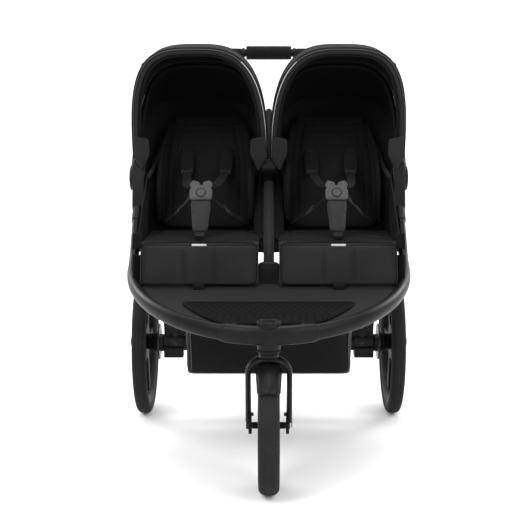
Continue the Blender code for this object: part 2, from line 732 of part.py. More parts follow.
# The rear frame and its wheels
def build_rear_frame():
    swing = pivot("rear_fold_axis", LEG_PIVOT)
    for side in (-1, 1):
        name = side_name(side)
        route = [(LEG_X, 0.100, 0.600), (0.299, 0.170, 0.410), (0.290, 0.200, 0.330)]
        route += [(0.262, 0.229, 0.262), (0.252, 0.240, 0.2385)]
        points = [Vector((side * x, y, z)) for x, y, z in route]
        leg = meshed(tube(f"rear_leg_{name}", points, "frame", LEG_RADIUS, parent=swing))
        boss = disc(f"leg_boss_{name}", 0.019, 0.022, at_x(LEG_PIVOT, side * LEG_X), (1, 0, 0), "frame", 20)
        combined(leg, [boss])
        build_suspension(side, name, swing)
    ends, foot_x = 0.2845, 0.2580
    beam = disc("axle_beam", BEAM_RADIUS, 2 * ends, BEAM_CENTRE, (1, 0, 0), "frame", 20, edge=0.002, parent=swing)
    feet = []
    for side in (-1, 1):
        place = (side * foot_x, BEAM_CENTRE.y - 0.002, BEAM_CENTRE.z - 0.024)
        feet.append(block("beam_foot", (2 * (ends - foot_x), 0.056, 0.028), place, "frame", edge=0.004))
    combined(beam, feet)
    pedal_pivot = BEAM_CENTRE + Vector((0.0, 0.033, 0.006))
    pedal_axis = pivot("brake_pedal_axis", pedal_pivot, swing)
    pedal = hull_of_discs([(pedal_pivot.y, pedal_pivot.z, 0.0102), (0.347, 0.226, 0.005)], 16)
    side_plate("brake_pedal", pedal, -0.045, 0.045, 1, "plastic", 0.001, pedal_axis)


def build_suspension(side, name, swing):
    """The sprung arm with its axle stub, the fixed brake drum, and the wheel that turns on it."""
    axle = Vector((side * REAR_AXLE.x, REAR_AXLE.y, REAR_AXLE.z))
    arm_axis = pivot(f"suspension_axis_{name}", at_x(BEAM_CENTRE, side * 0.29), swing)
    outline = hull_of_discs([(BEAM_CENTRE.y, BEAM_CENTRE.z, 0.024), (axle.y, axle.z, 0.018)], 20)
    label = f"suspension_arm_{name}"
    arm = meshed(side_plate(label, outline, 0.2855, 0.2995, side, "plastic", 0.002, arm_axis))
    across = (1, 0, 0)
    stub_start, stub_length = 0.290, 0.0830
    stub_place = at_x(axle, side * (stub_start + stub_length / 2))
    stub = disc(f"axle_stub_{name}", 0.006, stub_length, stub_place, across, "steel", 12)
    combined(arm, [stub])
    drum_place = at_x(axle, side * 0.3040)
    disc(f"brake_drum_{name}", 0.050, 0.008, drum_place, across, "steel", 24, 0.0066, 0.001, arm_axis)
    wheel_axis = pivot(f"rear_wheel_axis_{name}", axle, arm_axis)
    hub = (0.3090, 0.3780)
    build_wheel(f"rear_wheel_{name}", axle, REAR_TYRE_RADIUS, REAR_TYRE_WIDTH, hub, side, wheel_axis)
    cap_axis = pivot(f"wheel_release_axis_{name}", at_x(axle, side * HUB_CAP_X), wheel_axis)
    cap_inner = 0.3765
    centre = at_x(axle, side * (cap_inner + HUB_CAP_X) / 2)
    depth = HUB_CAP_X - cap_inner
    disc(f"wheel_release_{name}", 0.014, depth, centre, across, "plastic", edge=0.0015, parent=cap_axis)


def wheel_window(inner, outer, middle, width):
    """An opening between two spokes, in degrees about the hub."""
    outside = arc((0, 0), outer, middle - width, middle + width, 4)
    inside = arc((0, 0), inner, middle + width * 0.72, middle - width * 0.72, 2)
    return outside + inside


def build_wheel(name, centre, radius, width, hub_span, side, axis):
    """The tyre with its flat tread strip, and the rim with its web and hub."""
    tread = 0.008
    inner = radius - 0.036
    half = width / 2
    section = [
        (radius - 0.012, half),
        (radius - 0.004, half - 0.005),
        (radius, tread),
        (radius, -tread),
        (radius - 0.004, 0.005 - half),
        (radius - 0.012, -half),
        (radius - 0.026, -half),
        (inner, 0.007 - half),
        (inner, half - 0.007),
        (radius - 0.026, half),
    ]
    half_step = math.pi / TYRE_SIDES
    turned(f"{name}_tyre", section, centre, (1, 0, 0), "tyre", TYRE_SIDES, True, half_step, axis)
    rim_outer = inner * FLAT_RATIO - 0.0004
    rim_inner = rim_outer - 0.013
    rim_half = half - 0.006
    bed_half = rim_half - 0.005
    rim = [(rim_outer, rim_half), (rim_outer, -rim_half), (rim_inner, -bed_half), (rim_inner, bed_half)]
    ring = turned(f"{name}_rim", rim, centre, (1, 0, 0), "plastic", TYRE_SIDES, True, 0.0, axis)
    outlines = [arc((0, 0), rim_outer - 0.006, 0, 360 - 15, 23)]
    for spoke in range(5):
        outlines.append(wheel_window(radius * 0.24, rim_inner - 0.006, 36 + 72 * spoke, 29))
    web_place = Matrix.Translation(centre) @ pointing((1, 0, 0))
    web = meshed(plate(f"{name}_web", outlines, 0.009, web_place, "plastic"))
    near, far = hub_span
    hub_centre = Vector((side * (near + far) / 2, centre.y, centre.z))
    hub = disc(f"{name}_hub", radius * 0.135, far - near, hub_centre, (1, 0, 0), "plastic", 20)
    bore = disc(f"{name}_bore", 0.0074, far - near + 0.004, hub_centre, (1, 0, 0), "plastic", 16)
    combined(ring, [web, hub])
    combined(ring, [bore], "DIFFERENCE")
    if near > 0:
        mouth = Vector((side * (far + CAP_POCKET_DEPTH), centre.y, centre.z))
        pocket = disc(f"{name}_pocket", 0.0148, 4 * CAP_POCKET_DEPTH, mouth, (1, 0, 0), "plastic")
        combined(ring, [pocket], "DIFFERENCE")


# The fork and the front wheel
def build_fork():
    steer = pivot("swivel_axis", (0.0, SWIVEL_Y, 0.3148))
    rake = math.atan2(SWIVEL_Y - FRONT_AXLE.y, 0.158)
    plane = Matrix.Translation(FRONT_AXLE) @ Matrix.Rotation(math.pi / 2 - rake, 4, "X")
    outer, inner = 0.0500, 0.0374
    crown, shoulder, foot = 0.1705, 0.1296, -0.0145
    rise = crown - shoulder
    bar = 0.0118
    outside = [(outer * math.cos(t), shoulder + rise * math.sin(t)) for t in half_turn(14)]
    inside = [(inner * math.cos(t), shoulder + (rise - bar) * math.sin(t)) for t in half_turn(12)]
    tip_outer, tip_inner = 0.0435, 0.0365
    right = [(tip_inner, foot), (tip_outer, foot), (tip_outer, 0.010), (outer, 0.019)]
    left = [(-outer, 0.019), (-tip_outer, 0.010), (-tip_outer, foot), (-tip_inner, foot)]
    outline = [*right, *outside, *left, (-inner, 0.016), *reversed(inside), (inner, 0.016)]
    fork = meshed(plate("fork", [outline], 0.026, plane, "frame", parent=steer))
    collar = disc("fork_collar", 0.021, 0.0092, (0, SWIVEL_Y, 0.3101), (0, 0, 1), "frame", 20)
    steerer = disc("fork_steerer", 0.0080, 0.040, (0, SWIVEL_Y, 0.325), (0, 0, 1), "frame", 16)
    holes = disc("dropout_holes", 0.0056, 0.140, FRONT_AXLE, (1, 0, 0), "frame", 16)
    combined(fork, [collar, steerer])
    combined(fork, [holes], "DIFFERENCE")
    build_fender(steer)
    roll = pivot("front_wheel_axis", FRONT_AXLE, steer)
    build_wheel("front_wheel", FRONT_AXLE, FRONT_TYRE_RADIUS, FRONT_TYRE_WIDTH, (-0.034, 0.034), 1, roll)
    turned(
        "front_axle",
        [
            (0.0, 0.0455),
            (0.0080, 0.0455),
            (0.0080, 0.0438),
            (0.0050, 0.0438),
            (0.0050, -0.0438),
            (0.0080, -0.0438),
            (0.0080, -0.0490),
            (0.0, -0.0490),
        ],
        FRONT_AXLE,
        (1, 0, 0),
        "steel",
        16,
        parent=steer,
    )
    lever_axis = pivot("quick_release_axis", FRONT_AXLE + Vector((0.0488, 0.0, 0.0)), steer)
    y, z = FRONT_AXLE.y, FRONT_AXLE.z
    corners = [(-0.0025, -0.005), (0.058, 0.004), (0.056, 0.012), (-0.0025, 0.005)]
    lever = rounded([(y + ahead, z + up) for ahead, up in corners], 0.002, 2)
    side_plate("quick_release_lever", lever, 0.0473, 0.0503, 1, "steel", parent=lever_axis)


def half_turn(steps):
    return [math.pi * step / steps for step in range(steps + 1)]


def build_fender(steer):
    """A curved guard over the front tyre, an open skin made solid."""
    radius, skin = 0.1565, 0.0025
    rows, columns = 9, 4
    work = bmesh.new()
    grid = []
    for row in range(rows + 1):
        turn = math.radians(35 + (142 - 35) * row / rows)
        half_width = 0.0284 - 0.0060 * abs(2 * row / rows - 1) ** 1.5
        line = []
        for column in range(columns + 1):
            lean = math.pi / 2 * (2 * column / columns - 1)
            reach = radius - 0.014 * (1 - math.cos(lean))
            x = half_width * math.sin(lean)
            line.append(work.verts.new((x, reach * math.cos(turn), reach * math.sin(turn))))
        grid.append(line)
    for row in range(rows):
        for column in range(columns):
            here, there = grid[row], grid[row + 1]
            work.faces.new((here[column], there[column], there[column + 1], here[column + 1]))
    bmesh.ops.recalc_face_normals(work, faces=work.faces)
    work.faces.ensure_lookup_table()
    middle = work.faces[columns // 2]
    if middle.normal.dot(middle.calc_center_median()) < 0:
        bmesh.ops.reverse_faces(work, faces=work.faces)
    mesh = bpy.data.meshes.new("fender")
    work.to_mesh(mesh)
    work.free()
    smooth(mesh, 60)
    item = placed("fender", mesh, "plastic", Matrix.Translation(FRONT_AXLE), steer)
    solid = item.modifiers.new("thickness", "SOLIDIFY")
    solid.thickness = skin
    solid.offset = -1


def build_swivel_lock():
    axis = pivot("swivel_lock_axis", (0.0, SWIVEL_Y, 0.3678))
    centre = (0.0, SWIVEL_Y, 0.3760)
    disc("swivel_lock_knob", 0.0260, 0.0158, centre, (0, 0, 1), "plastic", 24, edge=0.003, parent=axis)


build_frame()
build_seats()
build_canopies()
build_footrest()
build_basket()
build_upper_frame()
build_rear_frame()
build_fork()
build_swivel_lock()
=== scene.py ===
"""The looks of the side-by-side double jogging stroller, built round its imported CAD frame.

Metres, +Z up, the front wheel at -Y. The shapes follow the frame's nodes: each piece rides on the
body that carries it, and the driving dimensions below are the frame's own.
"""

import json
import math
from functools import partial

import bmesh
import bpy
import numpy as np
from mathutils import Matrix, Vector, noise
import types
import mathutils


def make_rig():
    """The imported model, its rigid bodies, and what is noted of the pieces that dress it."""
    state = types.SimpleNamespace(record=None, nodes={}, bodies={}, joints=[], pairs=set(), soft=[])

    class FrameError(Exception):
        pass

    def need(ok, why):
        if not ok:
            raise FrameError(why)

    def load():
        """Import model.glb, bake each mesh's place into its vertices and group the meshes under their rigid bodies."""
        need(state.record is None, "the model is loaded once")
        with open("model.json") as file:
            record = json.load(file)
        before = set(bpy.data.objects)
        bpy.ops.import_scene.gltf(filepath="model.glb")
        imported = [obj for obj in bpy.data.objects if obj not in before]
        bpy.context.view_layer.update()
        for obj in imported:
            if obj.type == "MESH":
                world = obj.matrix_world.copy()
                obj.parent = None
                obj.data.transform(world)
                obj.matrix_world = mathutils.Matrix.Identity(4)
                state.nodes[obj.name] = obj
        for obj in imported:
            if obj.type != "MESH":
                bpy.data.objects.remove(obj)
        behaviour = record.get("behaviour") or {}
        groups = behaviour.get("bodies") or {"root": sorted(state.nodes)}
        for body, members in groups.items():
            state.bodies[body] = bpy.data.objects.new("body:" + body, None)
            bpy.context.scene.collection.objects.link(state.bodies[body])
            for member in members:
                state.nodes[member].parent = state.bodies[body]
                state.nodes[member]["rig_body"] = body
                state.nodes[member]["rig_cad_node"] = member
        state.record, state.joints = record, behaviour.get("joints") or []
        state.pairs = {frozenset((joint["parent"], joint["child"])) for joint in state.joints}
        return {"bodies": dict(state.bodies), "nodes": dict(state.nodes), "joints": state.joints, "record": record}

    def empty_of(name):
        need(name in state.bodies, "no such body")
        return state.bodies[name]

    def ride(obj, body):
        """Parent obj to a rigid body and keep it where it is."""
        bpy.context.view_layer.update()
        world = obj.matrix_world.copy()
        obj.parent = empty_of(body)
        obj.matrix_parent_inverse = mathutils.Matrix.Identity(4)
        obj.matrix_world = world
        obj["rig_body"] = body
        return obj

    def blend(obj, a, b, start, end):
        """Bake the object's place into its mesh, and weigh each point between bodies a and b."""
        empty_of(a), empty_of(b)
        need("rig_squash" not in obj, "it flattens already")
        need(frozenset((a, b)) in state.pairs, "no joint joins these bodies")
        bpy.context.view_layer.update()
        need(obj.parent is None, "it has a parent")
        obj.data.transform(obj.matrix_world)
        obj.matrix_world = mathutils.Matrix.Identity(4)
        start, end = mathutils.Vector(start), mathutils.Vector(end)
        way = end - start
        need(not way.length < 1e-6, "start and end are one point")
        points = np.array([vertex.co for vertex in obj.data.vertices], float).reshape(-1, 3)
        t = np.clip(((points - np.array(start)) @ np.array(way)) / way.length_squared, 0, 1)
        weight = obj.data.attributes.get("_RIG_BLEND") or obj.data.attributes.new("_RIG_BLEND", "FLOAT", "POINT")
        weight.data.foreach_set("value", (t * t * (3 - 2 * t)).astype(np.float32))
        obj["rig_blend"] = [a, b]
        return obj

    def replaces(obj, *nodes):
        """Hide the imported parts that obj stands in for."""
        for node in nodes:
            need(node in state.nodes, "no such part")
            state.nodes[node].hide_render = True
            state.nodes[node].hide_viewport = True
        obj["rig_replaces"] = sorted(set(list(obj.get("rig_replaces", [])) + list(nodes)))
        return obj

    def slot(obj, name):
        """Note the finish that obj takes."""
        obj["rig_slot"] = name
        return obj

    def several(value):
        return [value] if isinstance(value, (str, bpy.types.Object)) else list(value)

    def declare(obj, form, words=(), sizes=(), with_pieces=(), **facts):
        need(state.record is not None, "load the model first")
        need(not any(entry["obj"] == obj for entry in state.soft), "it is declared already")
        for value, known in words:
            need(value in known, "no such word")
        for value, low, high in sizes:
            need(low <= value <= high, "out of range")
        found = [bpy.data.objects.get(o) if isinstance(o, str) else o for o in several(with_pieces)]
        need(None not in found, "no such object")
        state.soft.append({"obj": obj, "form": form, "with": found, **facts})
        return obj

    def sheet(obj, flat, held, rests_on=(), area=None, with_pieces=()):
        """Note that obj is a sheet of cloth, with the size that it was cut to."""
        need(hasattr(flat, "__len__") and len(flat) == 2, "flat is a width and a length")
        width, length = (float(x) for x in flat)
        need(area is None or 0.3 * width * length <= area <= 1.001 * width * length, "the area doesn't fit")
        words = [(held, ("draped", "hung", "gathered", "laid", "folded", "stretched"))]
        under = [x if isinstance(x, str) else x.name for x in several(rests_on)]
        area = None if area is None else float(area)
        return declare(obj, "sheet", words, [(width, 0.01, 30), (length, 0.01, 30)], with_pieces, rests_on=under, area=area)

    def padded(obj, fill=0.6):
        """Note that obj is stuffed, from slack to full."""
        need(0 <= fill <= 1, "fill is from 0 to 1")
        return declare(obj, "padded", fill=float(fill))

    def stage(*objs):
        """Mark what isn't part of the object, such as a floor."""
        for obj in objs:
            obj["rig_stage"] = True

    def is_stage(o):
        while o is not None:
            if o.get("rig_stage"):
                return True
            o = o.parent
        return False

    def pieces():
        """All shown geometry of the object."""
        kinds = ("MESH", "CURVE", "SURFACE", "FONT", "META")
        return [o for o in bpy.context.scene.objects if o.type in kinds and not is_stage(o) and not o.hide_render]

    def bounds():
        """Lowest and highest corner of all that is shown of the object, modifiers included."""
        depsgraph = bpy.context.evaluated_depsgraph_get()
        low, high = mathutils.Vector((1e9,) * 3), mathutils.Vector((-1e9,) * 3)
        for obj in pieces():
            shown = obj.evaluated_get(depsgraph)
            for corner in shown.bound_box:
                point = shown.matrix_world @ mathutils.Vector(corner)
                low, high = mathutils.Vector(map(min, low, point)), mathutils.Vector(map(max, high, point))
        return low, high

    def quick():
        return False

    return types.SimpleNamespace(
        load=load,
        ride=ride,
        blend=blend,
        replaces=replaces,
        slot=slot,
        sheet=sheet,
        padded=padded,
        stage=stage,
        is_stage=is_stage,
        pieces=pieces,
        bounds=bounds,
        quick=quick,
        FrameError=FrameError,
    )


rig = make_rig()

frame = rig.load()
CAD_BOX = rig.bounds()

# The frame's driving dimensions
TYRE_SIDES, TYRE_DEPTH = 32, 0.036
FLATTENED = math.cos(math.pi / TYRE_SIDES)  # a faceted tyre's reach to its flats, over its radius
FRONT_RADIUS, REAR_RADIUS = 0.149, 0.200
FRONT_AXLE = np.array((0.0, -0.435, FRONT_RADIUS * FLATTENED))
REAR_AXLE = np.array((0.343, 0.315, REAR_RADIUS * FLATTENED))
SWIVEL_Y = -0.487
HOOP_HALF_WIDTH, HOOP_LENGTH, HOOP_CENTRE_Y = 0.332, 0.452, -0.045
HOOP_FRONT_Z, HOOP_SLOPE = 0.3536, 0.2126
FOLD_PIVOT = np.array((0.0, 0.130, 0.660))
LEG_PIVOT = np.array((0.0, 0.100, 0.600))
CANOPY_PIVOT = np.array((0.0, 0.090, 0.690))
TILT_PIVOT = np.array((0.0, 0.420, 0.945))
BIGHT = np.array((0.0, 0.085, 0.530))
BEAM = np.array((0.0, 0.245, 0.208))
CROSSBAR = np.array((0.0, 0.564, 1.013))
CANOPY_X, CANOPY_HALF_WIDTH, CANOPY_RADIUS = 0.1735, 0.171, 0.310
CANOPY_INNER_POWER, CANOPY_OUTER_POWER = 2.87, 3.7
RAIL_NEAR, RAIL_FAR = 0.3470, 0.3575
SEAT_X, SEAT_HALF_WIDTH = 0.162, 0.137
BACKREST_ANGLE = math.radians(58)
BACKREST_OUT = np.array((0.0, -math.sin(BACKREST_ANGLE), math.cos(BACKREST_ANGLE)))
HARNESS_ANGLE = math.radians(59)
FRONT_BAR_Y, REAR_BAR = -0.130, (-0.015, 0.4918)
RAIL_FOOT, RAIL_KNEE, RAIL_TOP = (-0.142, 0.4616), (0.130, 0.652), (0.305, 0.838)
ARM_X, LEG_X, CLAMP_X, HUB_X = 0.332, 0.300, 0.252, 0.1580
SIDES = ((-1, "left"), (1, "right"))
X_AXIS, Z_AXIS = (1.0, 0.0, 0.0), (0.0, 0.0, 1.0)
ASKEW = (0.31, 0.52, 0.79)  # a direction that none of the axes lies along


# Materials
WAVE_PERIOD = 0.314159  # how often the wave texture repeats at a scale of 1


class Nodes:
    """A short way to build a material's nodes."""

    def __init__(self, name):
        self.material = bpy.data.materials.new(name)
        self.material.use_nodes = True
        self.tree = self.material.node_tree
        self.shader = self.tree.nodes["Principled BSDF"]
        self.where = self.add("ShaderNodeTexCoord").outputs["Object"]

    def add(self, kind, **settings):
        """Adds a node and sets its inputs and settings."""
        node = self.tree.nodes.new(kind)
        for key, value in settings.items():
            if key in node.inputs:
                node.inputs[key].default_value = value
            else:
                setattr(node, key, value)
        return node

    def join(self, source, target):
        """Links a socket to another."""
        self.tree.links.new(source, target)

    def scaled(self, scale):
        """The object coordinates, scaled."""
        mapping = self.add("ShaderNodeMapping")
        mapping.inputs["Scale"].default_value = scale
        self.join(self.where, mapping.inputs["Vector"])
        return mapping.outputs["Vector"]

    def noise(self, scale, detail=4.0, roughness=0.55, stretch=(1, 1, 1)):
        """Smooth noise, 0 to 1."""
        node = self.add("ShaderNodeTexNoise")
        node.inputs["Scale"].default_value = scale
        node.inputs["Detail"].default_value = detail
        node.inputs["Roughness"].default_value = roughness
        self.join(self.scaled(stretch), node.inputs["Vector"])
        return node.outputs["Fac"]

    def waves(self, period, direction, distortion=0.0):
        """Bands that repeat every period, in metres."""
        node = self.add("ShaderNodeTexWave")
        node.bands_direction = direction
        node.inputs["Scale"].default_value = WAVE_PERIOD / period
        node.inputs["Distortion"].default_value = distortion
        node.inputs["Detail"].default_value = 0.0
        self.join(self.where, node.inputs["Vector"])
        return node.outputs["Fac"]

    def math(self, operation, first, second=0.5):
        """One operation on sockets or numbers."""
        node = self.add("ShaderNodeMath", operation=operation)
        for socket, value in zip(node.inputs, (first, second)):
            if isinstance(value, (int, float)):
                socket.default_value = value
            else:
                self.join(value, socket)
        return node.outputs["Value"]

    def ramp(self, source, stops):
        """A colour ramp over the source; stops are (place, grey or colour)."""
        node = self.add("ShaderNodeValToRGB")
        ramp = node.color_ramp
        while len(ramp.elements) < len(stops):
            ramp.elements.new(0.5)
        for element, (place, value) in zip(ramp.elements, stops):
            element.position = place
            element.color = (*value, 1.0) if hasattr(value, "__len__") else (value, value, value, 1.0)
        self.join(source, node.inputs["Fac"])
        return node.outputs["Color"]

    def finish(self, colour, roughness, height=None, distance=0.0002, strength=0.6, **constants):
        """Links colour, roughness and bump to the shader and sets its constants."""
        self.join(colour, self.shader.inputs["Base Color"])
        self.join(roughness, self.shader.inputs["Roughness"])
        if height is not None:
            bump = self.add("ShaderNodeBump")
            bump.inputs["Strength"].default_value = strength
            bump.inputs["Distance"].default_value = distance
            self.join(height, bump.inputs["Height"])
            self.join(bump.outputs["Normal"], self.shader.inputs["Normal"])
        for key, value in constants.items():
            self.shader.inputs[key.replace("_", " ")].default_value = value
        return self.material


def grey(value, tint=0.0):
    """A colour from one value, a shade bluer with a positive tint."""
    return (value, value, value * (1 + tint))


def coated_metal(name, dark, light, rough, metallic=0.0):
    """Powder coat: fine orange peel, soft blotches and lighter rubbed spots."""
    nodes = Nodes(name)
    blotch = nodes.noise(14.0, 5.0)
    wear = nodes.noise(90.0, 6.0, 0.7)
    colour = nodes.ramp(blotch, [(0.3, grey(dark)), (0.7, grey(light))])
    mixed = nodes.math("ADD", nodes.math("MULTIPLY", wear, 0.5), nodes.math("MULTIPLY", blotch, 0.5))
    roughness = nodes.ramp(mixed, [(0.3, rough - 0.06), (0.7, rough + 0.08)])
    peel = nodes.noise(1400.0, 2.0)
    return nodes.finish(colour, roughness, peel, 0.00012, 0.35, Metallic=metallic, Specular_IOR_Level=0.13)


def moulded(name, dark, light, rough, grain=900.0, distance=0.00015, shine=0.18):
    """Moulded plastic or rubber with a spark-eroded grain."""
    nodes = Nodes(name)
    blotch = nodes.noise(9.0, 4.0)
    colour = nodes.ramp(blotch, [(0.3, grey(dark)), (0.75, grey(light))])
    roughness = nodes.ramp(nodes.noise(40.0, 5.0), [(0.3, rough - 0.07), (0.7, rough + 0.07)])
    return nodes.finish(
        colour, roughness, nodes.noise(grain, 3.0, 0.7), distance, 0.5, Specular_IOR_Level=shine
    )


def woven(name, dark, light, rough=0.85, period=0.0011, sheen=0.12, fold=0.0006):
    """Plain-woven cloth: crossed threads, heathered yarn and shallow creases."""
    nodes = Nodes(name)
    across = nodes.waves(period, "X")
    along = nodes.waves(period, "Z")
    deep = nodes.waves(period, "Y")
    threads = nodes.math(
        "MAXIMUM", nodes.math("MULTIPLY", across, along), nodes.math("MULTIPLY", across, deep)
    )
    threads = nodes.math("MAXIMUM", threads, nodes.math("MULTIPLY", along, deep))
    yarn = nodes.noise(420.0, 3.0, 0.7)
    cloud = nodes.noise(7.0, 3.0)
    tone = nodes.math("ADD", nodes.math("MULTIPLY", yarn, 0.55), nodes.math("MULTIPLY", cloud, 0.45))
    colour = nodes.ramp(tone, [(0.36, grey(dark)), (0.64, grey(light))])
    roughness = nodes.ramp(yarn, [(0.3, rough - 0.08), (0.7, min(1.0, rough + 0.08))])
    creases = nodes.noise(22.0, 4.0, 0.5, (1.0, 1.0, 0.6))
    relief = 0.0003
    creased = nodes.math("MULTIPLY", creases, fold / relief)
    height = nodes.math("ADD", nodes.math("MULTIPLY", threads, 0.35), creased)
    constants = {"Sheen_Weight": sheen, "Sheen_Roughness": 0.45, "Specular_IOR_Level": 0.12}
    return nodes.finish(colour, roughness, height, relief, 0.7, **constants)


def ribbed_webbing(name, dark, light):
    """Narrow webbing: ribs across the tape and a heathered yarn."""
    nodes = Nodes(name)
    ribs = nodes.math("MAXIMUM", nodes.waves(0.0016, "DIAGONAL"), nodes.waves(0.0016, "Z"))
    yarn = nodes.noise(500.0, 2.0)
    colour = nodes.ramp(nodes.math("MULTIPLY", ribs, yarn), [(0.1, grey(dark)), (0.6, grey(light))])
    roughness = nodes.ramp(yarn, [(0.3, 0.65), (0.7, 0.8)])
    constants = {"Sheen_Weight": 0.02, "Specular_IOR_Level": 0.08}
    return nodes.finish(colour, roughness, ribs, 0.0003, 0.7, **constants)


def reflective(name, base, low, metallic=0.35):
    """Retro-reflective tape: tiny beads over a pale ground."""
    nodes = Nodes(name)
    beads = nodes.add("ShaderNodeTexVoronoi")
    beads.inputs["Scale"].default_value = 1500.0
    nodes.join(nodes.where, beads.inputs["Vector"])
    cells = beads.outputs["Distance"]
    colour = nodes.ramp(cells, [(0.1, grey(base)), (0.7, grey(low))])
    roughness = nodes.ramp(cells, [(0.1, 0.28), (0.7, 0.42)])
    return nodes.finish(colour, roughness, cells, 0.0001, 0.4, Metallic=metallic)


def brushed(name, dark, light, rough, axis=(1.0, 30.0, 30.0)):
    """Bare metal with fine streaks across the given axes."""
    nodes = Nodes(name)
    streaks = nodes.noise(60.0, 3.0, 0.6, axis)
    colour = nodes.ramp(streaks, [(0.3, grey(dark)), (0.7, grey(light))])
    roughness = nodes.ramp(streaks, [(0.3, rough - 0.06), (0.7, rough + 0.1)])
    return nodes.finish(colour, roughness, streaks, 0.00008, 0.4, Metallic=1.0)


def tyre_rubber(name):
    """Air-tyre rubber: grey bloom in patches, dust held in a fine grain."""
    nodes = Nodes(name)
    bloom = nodes.noise(16.0, 6.0, 0.6)
    dust = nodes.noise(240.0, 4.0, 0.7)
    mixed = nodes.math("ADD", nodes.math("MULTIPLY", bloom, 0.6), nodes.math("MULTIPLY", dust, 0.4))
    colour = nodes.ramp(mixed, [(0.35, grey(0.006)), (0.65, grey(0.014, -0.04))])
    roughness = nodes.ramp(mixed, [(0.3, 0.68), (0.7, 0.88)])
    return nodes.finish(colour, roughness, dust, 0.0003, 0.5, Specular_IOR_Level=0.16)


PAINT = coated_metal("satin_black_coat", 0.003, 0.006, 0.36)
PLASTIC = moulded("moulded_nylon", 0.004, 0.008, 0.52)
SOFT_PLASTIC = moulded("polished_nylon", 0.004, 0.008, 0.40, 600.0, 0.00008, 0.12)
RIM = moulded("rim_nylon", 0.003, 0.006, 0.50, 600.0, 0.00008, 0.06)
BUCKLE = moulded("buckle_nylon", 0.034, 0.048, 0.50)
SLIDER = moulded("slider_nylon", 0.016, 0.024, 0.50)
GRIP = moulded("grip_rubber", 0.004, 0.007, 0.72, 700.0, 0.0003, 0.10)
TREAD_MAT = moulded("tread_rubber", 0.002, 0.004, 0.66, 500.0, 0.0003, 0.05)
TYRE = tyre_rubber("tyre_rubber")
CANOPY = woven("canopy_cloth", 0.002, 0.004, 0.84, 0.0009, 0.01)
LINING = woven("canopy_lining", 0.005, 0.009, 0.90, 0.0010, 0.02)
SEAT = woven("seat_cloth", 0.008, 0.015, 0.84, 0.0013, 0.05)
# A darker copy of the seat cloth: painted shade on the backrest, its headband and the shoulder pads under the hood.
SEAT_BACK = woven("backrest_cloth", 0.0025, 0.006, 0.88, 0.0013, 0.02)
# A much darker copy of the seat cloth: painted shade on the seat's top, its bolsters and the walls and gussets round
# it; hems, piping, bindings and the basket's rim take it as dark trim.
SEAT_DARK = woven("seat_side_cloth", 0.0015, 0.0035, 0.90, 0.0013, 0.01)
PAD = woven("pad_cloth", 0.011, 0.018, 0.70, 0.0012, 0.10, 0.0003)
# A lighter copy of the canopy cloth: painted light on the hood's flaps and a painted highlight on the front bow's
# band; the gusset bindings take it too.
FLAP = woven("flap_cloth", 0.008, 0.014, 0.62, 0.0009, 0.06, 0.0003)
BASKET = woven("basket_cloth", 0.005, 0.010, 0.74, 0.0014, 0.03)
FOOT_CLOTH = woven("footrest_cloth", 0.004, 0.007, 0.64, 0.0012, 0.03)
WEBBING = ribbed_webbing("webbing", 0.0010, 0.0035)
SILVER = reflective("silver_piping", 0.62, 0.40)
GREY_TAPE = reflective("grey_piping", 0.045, 0.022, 0.1)
LABEL = reflective("plain_tab", 0.45, 0.30, 0.1)
STEEL = brushed("brushed_steel", 0.25, 0.42, 0.30)
DARK_STEEL = brushed("black_steel", 0.02, 0.05, 0.34)

SLOTS = {
    "frame_paint": (PAINT,),
    "moulded_plastic": (PLASTIC, SOFT_PLASTIC, RIM, BUCKLE, SLIDER),
    "grip_rubber": (GRIP, TREAD_MAT),
    "tyre_rubber": (TYRE,),
    "canopy_fabric": (CANOPY, LINING, FLAP),
    "seat_fabric": (SEAT, SEAT_BACK, SEAT_DARK, FOOT_CLOTH),
    "pad_fabric": (PAD,),
    "basket_fabric": (BASKET,),
    "webbing": (WEBBING, SILVER, GREY_TAPE, LABEL),
    "steel": (STEEL, DARK_STEEL),
}
SLOT_OF = {material: slot for slot, materials in SLOTS.items() for material in materials}


# Mesh tools
def piece(name, verts, faces, material, body, replaces=(), sharp=40, outward=True):
    """Makes a mesh object in the row frame, dresses it and hangs it from its body."""
    mesh = bpy.data.meshes.new(name)
    mesh.from_pydata([tuple(map(float, v)) for v in verts], [], faces)
    if outward:
        cleaned(mesh)
    return dressed(name, mesh, sharp, material, body, replaces)


def cleaned(mesh, matrix=Matrix()):
    """Merges a mesh's double points, places it and turns its faces outward."""
    work = bmesh.new()
    work.from_mesh(mesh)
    bmesh.ops.remove_doubles(work, verts=work.verts, dist=1e-6)
    bmesh.ops.transform(work, matrix=matrix, verts=work.verts)
    bmesh.ops.recalc_face_normals(work, faces=work.faces)
    work.to_mesh(mesh)
    work.free()


def dressed(name, mesh, sharp, material, body, replaces=()):
    """Makes a mesh into a piece: its shading, material and slot, its body and the nodes it replaces."""
    mesh.shade_smooth()
    mesh.set_sharp_from_angle(angle=math.radians(sharp))
    item = bpy.data.objects.new(name, mesh)
    bpy.context.scene.collection.objects.link(item)
    item.data.materials.clear()
    item.data.materials.append(material)
    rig.slot(item, SLOT_OF[material])
    if body:
        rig.ride(item, body)
    if replaces:
        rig.replaces(item, *replaces)
    return item


def rounded_edges(item, width, segments=3, angle=35):
    """Bevels the edges that turn by more than the angle."""
    bevel = item.modifiers.new("edges", "BEVEL")
    bevel.width = width
    bevel.segments = segments
    bevel.limit_method = "ANGLE"
    bevel.angle_limit = math.radians(angle)
    bevel.harden_normals = False
    return item


def thick(item, thickness, offset=0.0):
    """Gives a sheet its thickness."""
    solid = item.modifiers.new("thickness", "SOLIDIFY")
    solid.thickness = thickness
    solid.offset = offset
    return item


